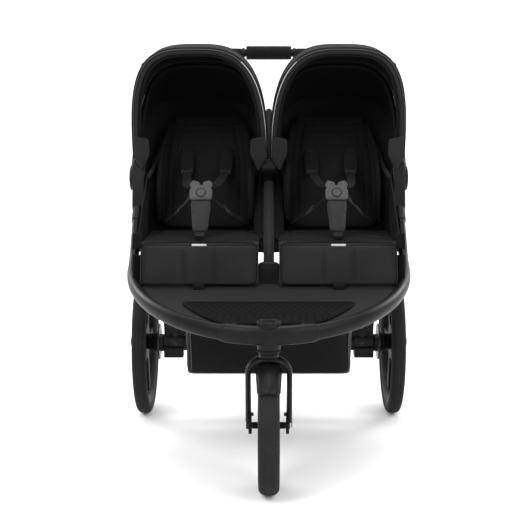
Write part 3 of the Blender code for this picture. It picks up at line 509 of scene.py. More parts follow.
def subdivided(item):
    """Adds one level of subdivision."""
    finer = item.modifiers.new("finer", "SUBSURF")
    finer.levels = 1
    finer.render_levels = 1
    return item


def unit(vector):
    """The vector at length 1."""
    vector = np.asarray(vector, float)
    return vector / max(np.linalg.norm(vector), 1e-12)


def plain(vector):
    """A vector as a tuple of floats."""
    return tuple(map(float, vector))


def run_of(points):
    """The length run at each of a polyline's points."""
    return np.concatenate([[0], np.cumsum(np.linalg.norm(np.diff(points, axis=0), axis=1))])


def even_polyline(points, count):
    """Points evenly spaced along a polyline."""
    points = np.asarray(points, float)
    run = run_of(points)
    wanted = np.linspace(0, run[-1], count)
    return np.column_stack([np.interp(wanted, run, points[:, k]) for k in range(points.shape[1])])


def smooth_path(points, count):
    """Points evenly spaced along a Catmull-Rom curve through the given ones."""
    p = np.asarray(points, float)
    p = np.vstack([2 * p[0] - p[1], p, 2 * p[-1] - p[-2]])
    fine = []
    for i in range(1, len(p) - 2):
        for t in np.linspace(0, 1, 24, endpoint=False):
            a, b, c, d = p[i - 1 : i + 3]
            fine.append(
                0.5 * (
                    2 * b + (c - a) * t + (2 * a - 5 * b + 4 * c - d) * t**2
                    + (3 * b - a - 3 * c + d) * t**3
                )
            )
    fine.append(p[-2])
    fine = np.array(fine)
    return even_polyline(fine, count)


def oval(across, up, count=20, power=2.0):
    """A closed section: its first measure lies along the sweep's hint, its second across it."""
    turns = 2 * math.pi * np.arange(count) / count
    c, s = np.cos(turns), np.sin(turns)
    return np.column_stack(
        [
            up / 2 * np.sign(c) * np.abs(c) ** (2 / power),
            across / 2 * np.sign(s) * np.abs(s) ** (2 / power),
        ]
    )


def ring_faces(rows, columns, rows_close, columns_close):
    """Quads between rows of points; either direction can close on itself."""
    faces = []
    for i in range(rows if rows_close else rows - 1):
        j = (i + 1) % rows
        for k in range(columns if columns_close else columns - 1):
            n = (k + 1) % columns
            faces.append((i * columns + k, j * columns + k, j * columns + n, i * columns + n))
    return faces


def sweep_mesh(path, section, hint=Z_AXIS, closed=False, scale=None):
    """Rings of the section along a path; the section's first axis keeps towards the hint."""
    path = np.asarray(path, float)
    count = len(path)
    if closed:
        tangent = np.roll(path, -1, 0) - np.roll(path, 1, 0)
    else:
        tangent = np.gradient(path, axis=0)
    tangent /= np.linalg.norm(tangent, axis=1)[:, None]
    hints = np.broadcast_to(np.asarray(hint, float), path.shape)
    first = hints - (hints * tangent).sum(1)[:, None] * tangent
    first /= np.linalg.norm(first, axis=1)[:, None]
    second = np.cross(tangent, first)
    rings = []
    for i in range(count):
        ring = section if scale is None else section * np.asarray(scale[i])
        rings.append(path[i] + ring[:, :1] * first[i] + ring[:, 1:] * second[i])
    verts = np.vstack(rings)
    m = len(section)
    faces = ring_faces(count, m, closed, True)
    if not closed:
        faces.append(tuple(range(m)))
        faces.append(tuple(range(count * m - 1, (count - 1) * m - 1, -1)))
    return verts, faces


def sweep(
    name, path, section, material, body, hint=Z_AXIS, closed=False, scale=None, replaces=(), sharp=50
):
    """A section swept along a path, as a piece."""
    verts, faces = sweep_mesh(path, section, hint, closed, scale)
    return piece(name, verts, faces, material, body, replaces, sharp)


def rod(name, path, radius, material, body, hint=Z_AXIS, sides=14, replaces=()):
    """A round bar along a path."""
    return sweep(name, path, oval(2 * radius, 2 * radius, sides), material, body, hint, replaces=replaces)


def lathe_mesh(profile, centre, axis, count=64, closed=False):
    """A profile of (radius, height) points turned about an axis."""
    axis = unit(axis)
    side = unit(np.cross(axis, ASKEW))
    other = np.cross(axis, side)
    verts = []
    for i in range(count):
        turn = 2 * math.pi * i / count
        out = math.cos(turn) * side + math.sin(turn) * other
        verts += [np.asarray(centre) + r * out + h * axis for r, h in profile]
    return verts, ring_faces(count, len(profile), True, closed)


def barrel(radius, low, high, edge):
    """The profile of a solid disc or bar between two heights, its rims chamfered."""
    half = [(0, low), (radius - edge, low), (radius, low + edge)]
    return half + [(radius, high - edge), (radius - edge, high), (0, high)]


def lathe(name, profile, centre, axis, material, body, count=64, closed=False, replaces=(), sharp=35):
    """A turned piece; a profile that isn't closed starts and ends on the axis."""
    verts, faces = lathe_mesh(profile, centre, axis, count, closed)
    return piece(name, verts, faces, material, body, replaces, sharp)


def joined(name, parts, material, body, replaces=(), sharp=40):
    """One object from several closed meshes given as (verts, faces)."""
    verts, faces = [], []
    for part_verts, part_faces in parts:
        start = len(verts)
        verts += list(part_verts)
        faces += [tuple(start + i for i in face) for face in part_faces]
    return piece(name, verts, faces, material, body, replaces, sharp)


def solid_between(outline, place, low, high):
    """The outline mapped by place() at two heights, closed into a solid."""
    n = len(outline)
    verts = [place(a, b, low) for a, b in outline] + [place(a, b, high) for a, b in outline]
    faces = [tuple(range(n)), tuple(range(2 * n - 1, n - 1, -1))]
    faces += [(i, (i + 1) % n, n + (i + 1) % n, n + i) for i in range(n)]
    return verts, faces


def plate_mesh(outline, near, far, plane="side"):
    """A flat outline extruded: side plates lie in (y, z), front ones in (x, z), floor ones in (x, y)."""
    place = {
        "side": lambda a, b, c: (c, a, b),
        "front": lambda a, b, c: (a, c, b),
        "floor": lambda a, b, c: (a, b, c),
    }[plane]
    return solid_between(outline, place, near, far)


def block(name, part, edge, material, body, replaces=()):
    """One closed mesh as a piece with rounded edges: edge is the bevel's width and its segments."""
    return rounded_edges(joined(name, [part], material, body, replaces), *edge)


def plate(name, outline, span, edge, material, body, replaces=(), plane="side"):
    """A plate between the span's two ends, in either order, with rounded edges."""
    return block(name, plate_mesh(outline, *sorted(span), plane), edge, material, body, replaces)


def grid_mesh(function, rows, columns):
    """A sheet from a function of row and column, both 0 to 1."""
    verts = [function(r / (rows - 1), c / (columns - 1)) for r in range(rows) for c in range(columns)]
    faces = []
    for r in range(rows - 1):
        for c in range(columns - 1):
            i = r * columns + c
            faces.append((i, i + 1, i + columns + 1, i + columns))
    return verts, faces


def cloth_sheet(name, function, rows, columns, thickness, material, body, replaces=(), offset=0.0):
    """A sheet of cloth from a function of row and column."""
    verts, faces = grid_mesh(function, rows, columns)
    item = piece(name, verts, faces, material, body, replaces, 60)
    return thick(item, thickness, offset)


def arc(centre, radius, first, last, steps):
    """Points on a circle's arc, in degrees."""
    turns = np.radians(np.linspace(first, last, steps + 1))
    return [(centre[0] + radius * math.cos(t), centre[1] + radius * math.sin(t)) for t in turns]


def hull(discs, steps=36):
    """The outline stretched round discs (a, b, radius)."""
    points = sorted({p for a, b, r in discs for p in arc((a, b), r, 0, 360 - 360 / steps, steps - 1)})

    def chain(ordered):
        kept = []
        for point in ordered:
            while len(kept) > 1 and cross(kept[-2], kept[-1], point) <= 1e-10:
                kept.pop()
            kept.append(point)
        return kept[:-1]

    return chain(points) + chain(points[::-1])


def cross(o, a, b):
    """Twice the signed area of the triangle o, a, b."""
    return (a[0] - o[0]) * (b[1] - o[1]) - (a[1] - o[1]) * (b[0] - o[0])


def rounded(corners, radius, steps=6):
    """A polygon with its corners eased by the radius."""
    points, count = [], len(corners)
    for index in range(count):
        corner = np.array(corners[index], float)
        before = unit(np.array(corners[index - 1]) - corner)
        after = unit(np.array(corners[(index + 1) % count]) - corner)
        for step in range(steps + 1):
            share = step / steps
            points.append(tuple(corner + before * radius * (1 - share) ** 2 + after * radius * share**2))
    return points


def oblong(middle, half_width, half_height):
    """A rectangle's corners, anticlockwise from the lower left."""
    (a, b), w, h = middle, half_width, half_height
    return [(a - w, b - h), (a + w, b - h), (a + w, b + h), (a - w, b + h)]


def at(place, x):
    """The place moved to another x."""
    return np.array((x, place[1], place[2]))


def ease(value, low, high):
    """Smooth steps from 0 at low to 1 at high."""
    t = np.clip((value - low) / (high - low), 0, 1)
    return t * t * (3 - 2 * t)


def ripple(place, scale, seed=0.0):
    """Smooth noise between -1 and 1 that gives cloth its unevenness."""
    return noise.noise(Vector((place[0] * scale + seed, place[1] * scale, place[2] * scale)))


def screw_head(name, centre, axis, radius, body, material=None):
    """A domed screw with a hexagon socket."""
    dome = [
        (0, -0.0004), (radius * 0.45, -0.0004), (radius * 0.45, 0.0012), (radius * 0.8, 0.0010),
        (radius, 0), (radius, -0.002), (0, -0.002)
    ]
    return lathe(name, dome, centre, axis, material or DARK_STEEL, body, 18)


# Cushions
PUFF_FRAMES = 20


def cushion_mesh(outline, thickness, place, crown=0.0):
    """A closed slab whose faces can bulge: the outline lies in the plane that place() maps to 3-D."""
    outline = np.asarray(outline, float)
    middle = outline.mean(0)
    rings = [1.0, 0.88, 0.66, 0.4, 0.15]
    verts, n = [], len(outline)
    for sign in (1, -1):
        for ring in rings:
            flat = middle + (outline - middle) * ring
            lift = thickness / 2 * (1 - 0.32 * (ring == 1.0)) + crown * (1 - ring**2) * (sign > 0)
            verts += [place(a, b, sign * lift) for a, b in flat]
    faces, r = [], len(rings)
    for s in (0, 1):
        base = s * r * n
        for i in range(r - 1):
            for k in range(n):
                m = (k + 1) % n
                quad = (base + i * n + k, base + i * n + m, base + (i + 1) * n + m, base + (i + 1) * n + k)
                faces.append(quad)
        faces.append(tuple(base + (r - 1) * n + k for k in range(n)))
    for k in range(n):
        m = (k + 1) % n
        faces.append((k, m, r * n + m, r * n + k))
    return verts, faces


def puffed(item, voxel=0.006, pressure=4.0, cap=0.006, pin=None):
    """Swells a closed mesh as stuffed cloth: no point goes past the cap, and pin() holds some still."""
    remesh = item.modifiers.new("even_cells", "REMESH")
    remesh.mode = "VOXEL"
    remesh.voxel_size = voxel
    apply_modifiers(item)
    rest = points_of(item)
    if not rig.quick():
        scene = bpy.context.scene
        cloth = item.modifiers.new("stuffing", "CLOTH")
        cloth.settings.quality = 4
        cloth.settings.mass = 0.2
        cloth.settings.tension_stiffness = 12
        cloth.settings.compression_stiffness = 12
        cloth.settings.shear_stiffness = 6
        cloth.settings.bending_stiffness = 0.4
        cloth.settings.use_pressure = True
        cloth.settings.uniform_pressure_force = pressure
        cloth.settings.effector_weights.gravity = 0
        cloth.collision_settings.use_collision = False
        if pin is not None:
            group = item.vertex_groups.new(name="held")
            held = [i for i, p in enumerate(rest) if pin(p)]
            group.add(held, 1.0, "REPLACE")
            cloth.settings.vertex_group_mass = "held"
        cloth.point_cache.frame_start = 1
        cloth.point_cache.frame_end = PUFF_FRAMES
        for number in range(1, PUFF_FRAMES + 1):
            scene.frame_set(number)
        apply_modifiers(item)
        scene.frame_set(1)
        swollen = points_of(item)
        move = swollen - rest
        far = np.linalg.norm(move, axis=1)
        share = np.minimum(1.0, cap / np.maximum(far, 1e-9))
        set_points(item, rest + move * share[:, None])
    item.data.shade_smooth()
    return item


def apply_modifiers(item):
    """Turns the modifiers' result into the mesh."""
    bpy.context.view_layer.update()
    graph = bpy.context.evaluated_depsgraph_get()
    mesh = bpy.data.meshes.new_from_object(item.evaluated_get(graph), depsgraph=graph)
    old = item.data
    item.modifiers.clear()
    item.data = mesh
    mesh.name = item.name
    bpy.data.meshes.remove(old)


def vectors(source, field):
    """A mesh attribute's vectors as an array."""
    flat = np.zeros(len(source) * 3, np.float32)
    source.foreach_get(field, flat)
    return flat.reshape(-1, 3).astype(float)


def points_of(item):
    """The mesh's points as an array."""
    return vectors(item.data.vertices, "co")


def set_points(item, points):
    """Moves the mesh's points."""
    item.data.vertices.foreach_set("co", np.asarray(points, np.float32).reshape(-1))
    item.data.update()


def sewn(item, depth_at):
    """Presses seams and channels into a finished cushion; depth_at gives metres for an array of points."""
    apply_modifiers(subdivided(item))
    points = points_of(item)
    set_points(
        item, points - vectors(item.data.vertex_normals, "vector") * np.asarray(depth_at(points))[:, None]
    )
    item.data.shade_smooth()
    return item


def channel(distance, width, depth):
    """A rounded groove round a line, given each point's distance from it."""
    return depth * np.exp(-((distance / width) ** 2))


# Frame and castings
def hoop_height(y):
    """The height of the hoop's centre line at a given y."""
    return HOOP_FRONT_Z + HOOP_SLOPE * (y - HOOP_CENTRE_Y + HOOP_LENGTH)


def hoop_point(turn):
    """A point on the hoop's centre line, 0 degrees at the front and 90 at the side."""
    angle = math.radians(turn)
    y = HOOP_CENTRE_Y - HOOP_LENGTH * math.cos(angle)
    return np.array((HOOP_HALF_WIDTH * math.sin(angle), y, hoop_height(y)))


def quadratic(start, corner, end, steps):
    """Points along a bend from start to end, pulled to the corner."""
    shares = np.linspace(0, 1, steps)[:, None]
    return start * (1 - shares) ** 2 + corner * 2 * shares * (1 - shares) + end * shares**2


def frame_tube_route():
    """From inside the nose, round the hoop's side and up into the fold hinge."""
    hoop = [hoop_point(turn) for turn in np.linspace(16.0, 84.0, 36)]
    corner = hoop_point(90.0)
    rise = unit(at(FOLD_PIVOT, HOOP_HALF_WIDTH) - corner)
    bend = quadratic(hoop[-1], corner, corner + rise * 0.05, 9)[1:]
    straight = [corner + rise * reach for reach in (0.075, 0.100, 0.125, 0.150, 0.172)]
    return np.vstack([hoop, bend, straight]), rise


def mirrored(points, side):
    """Points of the right-hand side, taken to the given side."""
    return np.asarray(points) * np.array((side, 1.0, 1.0))


def build_frame_tubes():
    """The two tubes of the hoop, with their end sockets and rivets."""
    route, rise = frame_tube_route()
    section = oval(0.023, 0.034, 28, 2.25)
    for side, name in SIDES:
        path = mirrored(route, side)
        sweep(f"frame_tube_{name}_skin", path, section, PAINT, "chassis", replaces=[f"frame_tube_{name}"])
        ferrule = oval(0.0270, 0.0385, 28, 2.3)
        end = mirrored(route[-1:], side)[0]
        up = rise * np.array((side, 1, 1))
        socket = [end - up * 0.040, end - up * 0.038, end - up * 0.012, end]
        sweep(f"frame_socket_{name}", socket, ferrule, PLASTIC, "chassis", scale=[0.93, 1, 1, 1], sharp=30)
        for share in (0.30, 0.70):
            place = hoop_point(16 + 68 * share) * np.array((side, 1, 1)) - np.array((0, 0, 0.0169))
            screw_head(f"frame_rivet_{name}_{int(share * 10)}", place, (0, 0.2, -1), 0.0042, "chassis")


def build_nose():
    """The cast nose between the tubes, its collar, and the head that holds the fork."""
    turns = np.linspace(-17.6, 17.6, 33)
    path = []
    for turn in turns:
        place = hoop_point(abs(turn))
        path.append(place * np.array((1.0 if turn >= 0 else -1.0, 1, 1)))
    size = [1.0 - 0.13 * float(ease(abs(turn), 15.8, 17.6)) for turn in turns]
    nose = sweep_mesh(path, oval(0.031, 0.041, 36, 2.6), scale=size)
    low, high = 0.3150, 0.3680
    barrel = [(0, low), (0.0215, low), (0.0225, low + 0.001), (0.0245, low + 0.010), (0.026, low + 0.020)]
    barrel += [(0.026, high - 0.002), (0.0245, high), (0, high)]
    head = lathe_mesh(barrel, (0, SWIVEL_Y, 0), Z_AXIS, 48)
    item = joined("head_casting_shell", [nose, head], SOFT_PLASTIC, "chassis", ["head_casting"], 32)
    rounded_edges(item, 0.0012, 2)
    groove = [(0.0262, 0.3195), (0.0262, 0.3225)]
    ring = [(0.0235, 0.3190), *groove, (0.0235, 0.3230)]
    lathe("head_seal", ring, (0, SWIVEL_Y, 0), Z_AXIS, GRIP, "chassis", 48, True)
    for side, name in SIDES:
        place = hoop_point(12.5) * np.array((side, 1, 1)) + np.array((0, 0.003, 0.0205))
        screw_head(f"nose_screw_{name}", place, (0, -0.2, 1), 0.0040, "chassis")


def build_knob():
    """The swivel lock: a dial with finger flutes and a raised bar across its top."""
    low, high, radius, flutes = 0.3681, 0.3839, 0.0260, 18
    verts, count = [], 144
    levels = [(0.0, low), (0.955, low), (1.0, low + 0.002), (1.0, high - 0.004), (0.93, high - 0.0008)]
    levels += [(0.70, high), (0.66, high - 0.0012), (0.0, high - 0.0012)]
    for step in range(count):
        turn = 2 * math.pi * step / count
        cut = 0.0011 * (0.5 + 0.5 * math.cos(flutes * turn)) ** 2
        for share, height in levels:
            reach = radius * share - (cut if share > 0.9 else 0.0)
            verts.append((reach * math.cos(turn), SWIVEL_Y + reach * math.sin(turn), height))
    faces = ring_faces(count, len(levels), True, False)
    piece("swivel_lock_dial", verts, faces, SOFT_PLASTIC, "swivel_lock_knob", ["swivel_lock_knob"], 38)
    bar = rounded(oblong((0.0, SWIVEL_Y), 0.013, 0.0035), 0.0034)
    span = (high - 0.003, high + 0.0012)
    plate("swivel_lock_bar", bar, span, (0.0007, 2), PLASTIC, "swivel_lock_knob", plane="floor")


def build_hinges():
    """The fold hinges' housings, their covers and screws."""
    outline = hull(
        [(0.130, 0.660, 0.034), (0.100, 0.600, 0.020), (0.090, 0.690, 0.018), (0.072, 0.592, 0.020)]
    )
    inset = hull(
        [(0.130, 0.660, 0.0265), (0.100, 0.600, 0.0135), (0.090, 0.690, 0.0115), (0.076, 0.598, 0.0125)]
    )
    for side, name in SIDES:
        span, inside = (side * 0.3125, side * 0.3460), (side * 0.3118, side * 0.3130)
        node = [f"hinge_housing_{name}"]
        plate(f"hinge_shell_{name}", outline, span, (0.0045, 4), SOFT_PLASTIC, "chassis", node)
        plate(f"hinge_cover_{name}", inset, inside, (0.0005, 2), PLASTIC, "chassis")
        for index, (y, z) in enumerate(((0.100, 0.600), (0.090, 0.690), (0.074, 0.594))):
            screw_head(
                f"hinge_screw_{name}_{index}", (side * 0.3462, y, z), (side, 0, 0), 0.0062, "chassis"
            )


def build_crossbars():
    """The bars under the seats, with the moulded sleeves that join them to the side tubes."""
    y, z = FRONT_BAR_Y, hoop_height(FRONT_BAR_Y)
    rod(
        "seat_front_bar", [(x, y, z) for x in np.linspace(-0.322, 0.322, 9)], 0.012, PAINT, "chassis",
        sides=28, replaces=["seat_front_crossbar"]
    )
    rod(
        "seat_rear_bar", [(x, *REAR_BAR) for x in np.linspace(-0.324, 0.324, 9)], 0.010, PAINT, "chassis",
        sides=24, replaces=["seat_rear_crossbar"]
    )
    for side, name in SIDES:
        ends = (("front", (side * 0.290, y, z), 0.0155), ("rear", (side * 0.300, *REAR_BAR), 0.0135))
        for label, place, radius in ends:
            sleeve = [(0, -0.012), (radius - 0.001, -0.012), (radius, -0.011), (radius, 0.013), (0, 0.013)]
            lathe(f"{label}_sleeve_{name}", sleeve, place, (side, 0, 0), PLASTIC, "chassis", 32)


def build_upper_rails():
    """The flat rails from fold hinge to handlebar, with covers, bolts and tilt buttons."""
    run = unit(TILT_PIVOT - FOLD_PIVOT)
    heading = math.degrees(math.atan2(run[2], run[1]))
    low, high = FOLD_PIVOT[1:], TILT_PIVOT[1:]
    outline = arc(low, 0.032, heading + 28, heading + 332, 44)
    outline += arc(high, 0.030, heading - 150, heading + 150, 44)
    up = np.array((0, -run[2], run[1]))
    for side, name in SIDES:
        span, node = (side * RAIL_NEAR, side * RAIL_FAR), [f"upper_rail_{name}"]
        plate(f"rail_body_{name}", outline, span, (0.0036, 4), PAINT, "upper_frame", node)
        for label, centre, radius, inner in (
            ("fold", FOLD_PIVOT, 0.0255, 0.0), ("tilt", TILT_PIVOT, 0.0245, 0.0172)
        ):
            profile = [
                (inner, 0.0002), (inner + 0.001, 0.0007), (radius - 0.001, 0.0007), (radius, 0.0001),
                (radius, -0.002), (inner, -0.002)
            ]
            lathe(
                f"{label}_cover_{name}", profile, at(centre, side * RAIL_FAR), (side, 0, 0), SOFT_PLASTIC,
                "upper_frame", 56, label == "tilt"
            )
        screw_head(
            f"fold_bolt_{name}", at(FOLD_PIVOT, side * (RAIL_FAR + 0.0009)), (side, 0, 0), 0.0085,
            "upper_frame", STEEL
        )
        strip = [
            FOLD_PIVOT[1:] + run[1:] * reach + up[1:] * lift
            for reach, lift in ((0.055, -0.008), (0.330, -0.008), (0.330, 0.008), (0.055, 0.008))
        ]
        span = (side * (RAIL_FAR - 0.0005), side * (RAIL_FAR + 0.0006))
        plate(f"rail_band_{name}", rounded(strip, 0.0075), span, (0.0004, 2), PLASTIC, "upper_frame")
        build_fold_release(side, name, run, up)
        dome = [
            (0, 0.0012), (0.006, 0.0010), (0.0135, -0.0002), (0.0165, -0.0022), (0.0165, -0.006),
            (0, -0.006)
        ]
        lathe(
            f"tilt_cap_{name}", dome, at(TILT_PIVOT, side * (RAIL_FAR + 0.0014)), (side, 0, 0), GRIP,
            f"tilt_button_{name}", 40, replaces=[f"tilt_button_{name}"]
        )
        ring = [(0.0085, 0.0000), (0.0090, 0.0006), (0.0105, 0.0006), (0.0110, -0.0004), (0.0098, -0.002)]
        lathe(
            f"tilt_ring_{name}", ring, at(TILT_PIVOT, side * (RAIL_FAR + 0.0018)), (side, 0, 0),
            SOFT_PLASTIC, f"tilt_button_{name}", 40, True
        )


def build_fold_release(side, name, run, up):
    """A thumb slider with three ridges on the rail's top."""
    centre = at(FOLD_PIVOT + run * 0.200 + up * 0.0200, side * (RAIL_NEAR + RAIL_FAR) / 2)
    outline = [(-0.018, -0.004), (0.018, -0.004), (0.018, 0.0015), (0.014, 0.0035)]
    outline += [
        (0.0085, 0.0028), (0.0065, 0.0045), (0.0045, 0.0028), (0.0015, 0.0028), (-0.0005, 0.0045),
        (-0.0025, 0.0028)
    ]
    outline += [(-0.0055, 0.0028), (-0.0075, 0.0045), (-0.0095, 0.0028), (-0.014, 0.0035), (-0.018, 0.0015)]
    placed = [centre[1:] + run[1:] * a + up[1:] * b for a, b in outline]
    span, body = (centre[0] - 0.005, centre[0] + 0.005), f"fold_release_{name}"
    plate(f"fold_slider_{name}", placed, span, (0.0009, 2), GRIP, body, [body])


def build_handlebar():
    """The bent bar on its two hubs, its foam grips and the ridged brake grip."""
    arm = unit(CROSSBAR - TILT_PIVOT)
    start = at(TILT_PIVOT + arm * 0.006, ARM_X)
    corner = at(CROSSBAR, ARM_X)
    near, far = corner - arm * 0.060, corner - np.array((0.070, 0, 0))
    half = np.vstack(
        [[start, (start + near) / 2], quadratic(near, corner, far, 14), [(0.200, *CROSSBAR[1:])]]
    )
    path = np.vstack([half, [CROSSBAR], mirrored(half[::-1], -1)])
    bar = sweep_mesh(path, oval(0.023, 0.023, 24), (0.0, 0.35, 1.0))
    hubs = []
    for side in (-1, 1):
        profile = barrel(0.028, -0.0132, 0.0132, 0.0015)
        hubs.append(lathe_mesh(profile, at(TILT_PIVOT, side * 0.33275), (side, 0, 0), 56))
    joined("handlebar_tube", [bar], PAINT, "handlebar", ["handlebar"], 60)
    joined("handlebar_hubs", hubs, SOFT_PLASTIC, "handlebar")
    for side, name in SIDES:
        foam = [np.array((side * x, *CROSSBAR[1:])) for x in np.linspace(0.078, 0.245, 24)]
        bend = mirrored(quadratic(near, corner, far, 14)[::-1], side)
        sleeve = np.vstack([foam, bend[:9]])
        shade = [0.9] + [1.0] * (len(sleeve) - 2) + [0.9]
        sweep(
            f"hand_foam_{name}", sleeve, oval(0.0262, 0.0262, 28), GRIP, "handlebar", (0.0, 0.35, 1.0),
            scale=shade
        )
        collar = [
            (0.0116, -0.004), (0.0140, -0.004), (0.0146, -0.003), (0.0146, 0.003), (0.0140, 0.004),
            (0.0116, 0.004)
        ]
        lathe(
            f"foam_collar_{name}", collar, (side * 0.0745, *CROSSBAR[1:]), X_AXIS, SOFT_PLASTIC,
            "handlebar", 36, True
        )
    profile, ridges = [(0.0128, -0.066), (0.0185, -0.066), (0.0198, -0.0645)], 15
    for ridge in range(ridges):
        x = -0.060 + 0.120 * (ridge + 0.5) / ridges
        profile += [(0.0200, x - 0.0030), (0.0200, x + 0.0022), (0.0190, x + 0.0030), (0.0190, x + 0.0042)]
    profile += [(0.0198, 0.0645), (0.0185, 0.066), (0.0128, 0.066)]
    lathe("brake_twist_sleeve", profile, CROSSBAR, X_AXIS, GRIP, "brake_grip", 56, True, ["brake_grip"], 50)


def build_centre_rail():
    """The rail between the seats in its sewn cover, the boot at its foot and the canopies' boss."""
    y = FRONT_BAR_Y
    foot = np.array((0.0, y - 0.012, hoop_height(y) + 0.030))
    knee, top = np.array((0.0, *RAIL_KNEE)), np.array((0.0, *RAIL_TOP))
    before, after = knee - unit(knee - foot) * 0.03, knee + unit(top - knee) * 0.03
    bend = quadratic(before, knee, after, 8)
    path = np.vstack([np.linspace(foot, before, 14), bend[1:], np.linspace(after, top, 12)[1:]])
    size = [1.0 + 0.035 * ripple(p, 38.0, 4.0) for p in path]
    size[-1] *= 0.6
    sweep(
        "centre_rail_cover", path, oval(0.0255, 0.0262, 28, 2.2), SEAT, "chassis", scale=size,
        replaces=["centre_rail"]
    )
    shape = [
        (-0.0250, 0.405), (0.0250, 0.405), (0.0250, 0.4665), (0.0150, 0.4710), (-0.0150, 0.4710),
        (-0.0250, 0.4665)
    ]
    span = (-0.1617, -0.1427)
    plate("centre_rail_boot", rounded(shape, 0.005), span, (0.0035, 3), PLASTIC, "chassis", plane="front")
    inset = rounded([(-0.0190, 0.411), (0.0190, 0.411), (0.0190, 0.4575), (-0.0190, 0.4575)], 0.004)
    span = (-0.1625, -0.1600)
    plate("centre_boot_cover", inset, span, (0.0009, 2), SOFT_PLASTIC, "chassis", plane="front")
    lathe(
        "centre_rail_clamp", barrel(0.0175, -0.017, 0.017, 0.001), (0, y, hoop_height(y)), X_AXIS, PLASTIC,
        "chassis", 32
    )
    neck = hull([(CANOPY_PIVOT[1], CANOPY_PIVOT[2], 0.018), (0.126, 0.654, 0.0095)])
    plate("centre_boss", neck, (-0.0155, 0.0155), (0.003, 3), SOFT_PLASTIC, "chassis")
    for side, name in SIDES:
        screw_head(
            f"centre_boss_screw_{name}", at(CANOPY_PIVOT, side * 0.0157), (side, 0, 0), 0.006, "chassis"
        )
    lift = np.array([np.cross(X_AXIS, unit(d)) for d in np.gradient(path, axis=0)])
    stitched_line("centre_rail_stitch", (path + lift * 0.0133)[1:-1], lift[1:-1], "chassis")


def stitched_line(name, path, normals, body, length=0.0032, gap=0.0018, radius=0.00032, material=None):
    """A row of single stitches lying along a path."""
    path = np.asarray(path, float)
    normals = np.broadcast_to(np.asarray(normals, float), path.shape)
    run = run_of(path)
    parts, place = [], 0.002
    ring = oval(2 * radius, 2 * radius, 6)
    while place + length < run[-1]:
        marks = np.array((place, place + length * 0.5, place + length))
        points = np.column_stack([np.interp(marks, run, path[:, k]) for k in range(3)])
        out = np.column_stack([np.interp(marks, run, normals[:, k]) for k in range(3)])
        points += out * np.array((-0.0002, 0.00025, -0.0002))[:, None]
        hint = unit(np.cross(points[-1] - points[0], out[1]))
        parts.append(sweep_mesh(points, ring, hint))
        place += length + gap
    return joined(name, parts, material or GREY_TAPE, body)


# Wheels, legs and fork
def tyre(name, centre, radius, width, body, node):
    """An air tyre with centre rib, chevron blocks and shoulder lugs."""
    around, across = 288, 44
    half, depth = width / 2, TYRE_DEPTH
    verts = []
    for i in range(around):
        turn = 2 * math.pi * i / around
        phase = (i / around) * 72
        for k in range(across):
            lean = 2 * math.pi * k / across
            c, s = math.cos(lean), math.sin(lean)
            x = half * math.copysign(abs(s) ** 0.86, s)
            lift = (depth / 2) * math.copysign(abs(c) ** 0.86, c)
            share = abs(x) / half
            cut = 0.0
            if c > 0.12:
                wave = (phase + 1.1 * share) % 1.0
                rib = 0.10 < share < 0.20
                chevron = share >= 0.20 and wave < 0.24
                cut = 0.0013 if rib or chevron else 0.0
                if share > 0.86:
                    cut = 0.0009 if wave < 0.4 else 0.0
            reach = radius - depth / 2 + lift - cut
            verts.append((x, reach * math.cos(turn), reach * math.sin(turn)))
    verts = np.array(verts) + np.asarray(centre)
    faces = ring_faces(around, across, True, True)
    return piece(name, verts, faces, TYRE, body, [node], 34)


def flat_shape(name, outlines, thickness, matrix, edge, material, body, replaces=()):
    """A plate with holes: closed outlines, the first the outer one, with rounded edges."""
    curve = bpy.data.curves.new(name, "CURVE")
    curve.dimensions = "2D"
    curve.fill_mode = "BOTH"
    curve.extrude = thickness / 2 - edge
    curve.bevel_depth = edge
    curve.bevel_resolution = 2
    curve.offset = -edge
    for outline in outlines:
        spline = curve.splines.new("POLY")
        spline.points.add(len(outline) - 1)
        for point, place in zip(spline.points, outline):
            point.co = (place[0], place[1], 0.0, 1.0)
        spline.use_cyclic_u = True
    source = bpy.data.objects.new(f"{name}_outline", curve)
    bpy.context.scene.collection.objects.link(source)
    bpy.context.view_layer.update()
    graph = bpy.context.evaluated_depsgraph_get()
    mesh = bpy.data.meshes.new_from_object(source.evaluated_get(graph), depsgraph=graph)
    bpy.data.objects.remove(source)
    bpy.data.curves.remove(curve)
    cleaned(mesh, matrix)
    mesh.name = name
    return dressed(name, mesh, 30, material, body, replaces)


WHEEL_PLANE = Vector((1, 0, 0)).to_track_quat("Z", "Y").to_matrix().to_4x4()


SPOKES = 5


def spoke_turn(spoke):
    """Where a spoke stands, in radians."""
    return math.radians(360 / SPOKES * spoke)


def spoke_parts(centre, radius, outer):
    """The wheel's middle: a ring inside the rim, a disc on the hub, and spokes that flare at both ends."""
    half, edge = 0.0055, 0.0014
    inner, disc = outer - 0.011, radius * 0.24
    ring = [
        (inner, edge - half), (inner + edge, -half), (outer, -half), (outer, half), (inner + edge, half),
        (inner, half - edge)
    ]
    middle = barrel(disc, -half, half, edge)
    parts = [lathe_mesh(ring, centre, X_AXIS, 120, True), lathe_mesh(middle, centre, X_AXIS, 60)]
    section = oval(1.0, 2 * half, 28, 5)
    shares = np.linspace(0, 1, 25)
    widths = radius * (0.115 + 0.025 * shares + 0.075 * (1 - shares) ** 7 + 0.110 * shares**12)
    for spoke in range(SPOKES):
        turn = spoke_turn(spoke)
        along = np.array(WHEEL_PLANE.to_3x3() @ Vector((math.cos(turn), math.sin(turn), 0.0)))
        path = [
            np.asarray(centre) + along * (radius * 0.19 + (outer - 0.003 - radius * 0.19) * share)
            for share in shares
        ]
        parts.append(sweep_mesh(path, section, X_AXIS, scale=[(1.0, width) for width in widths]))
    return parts


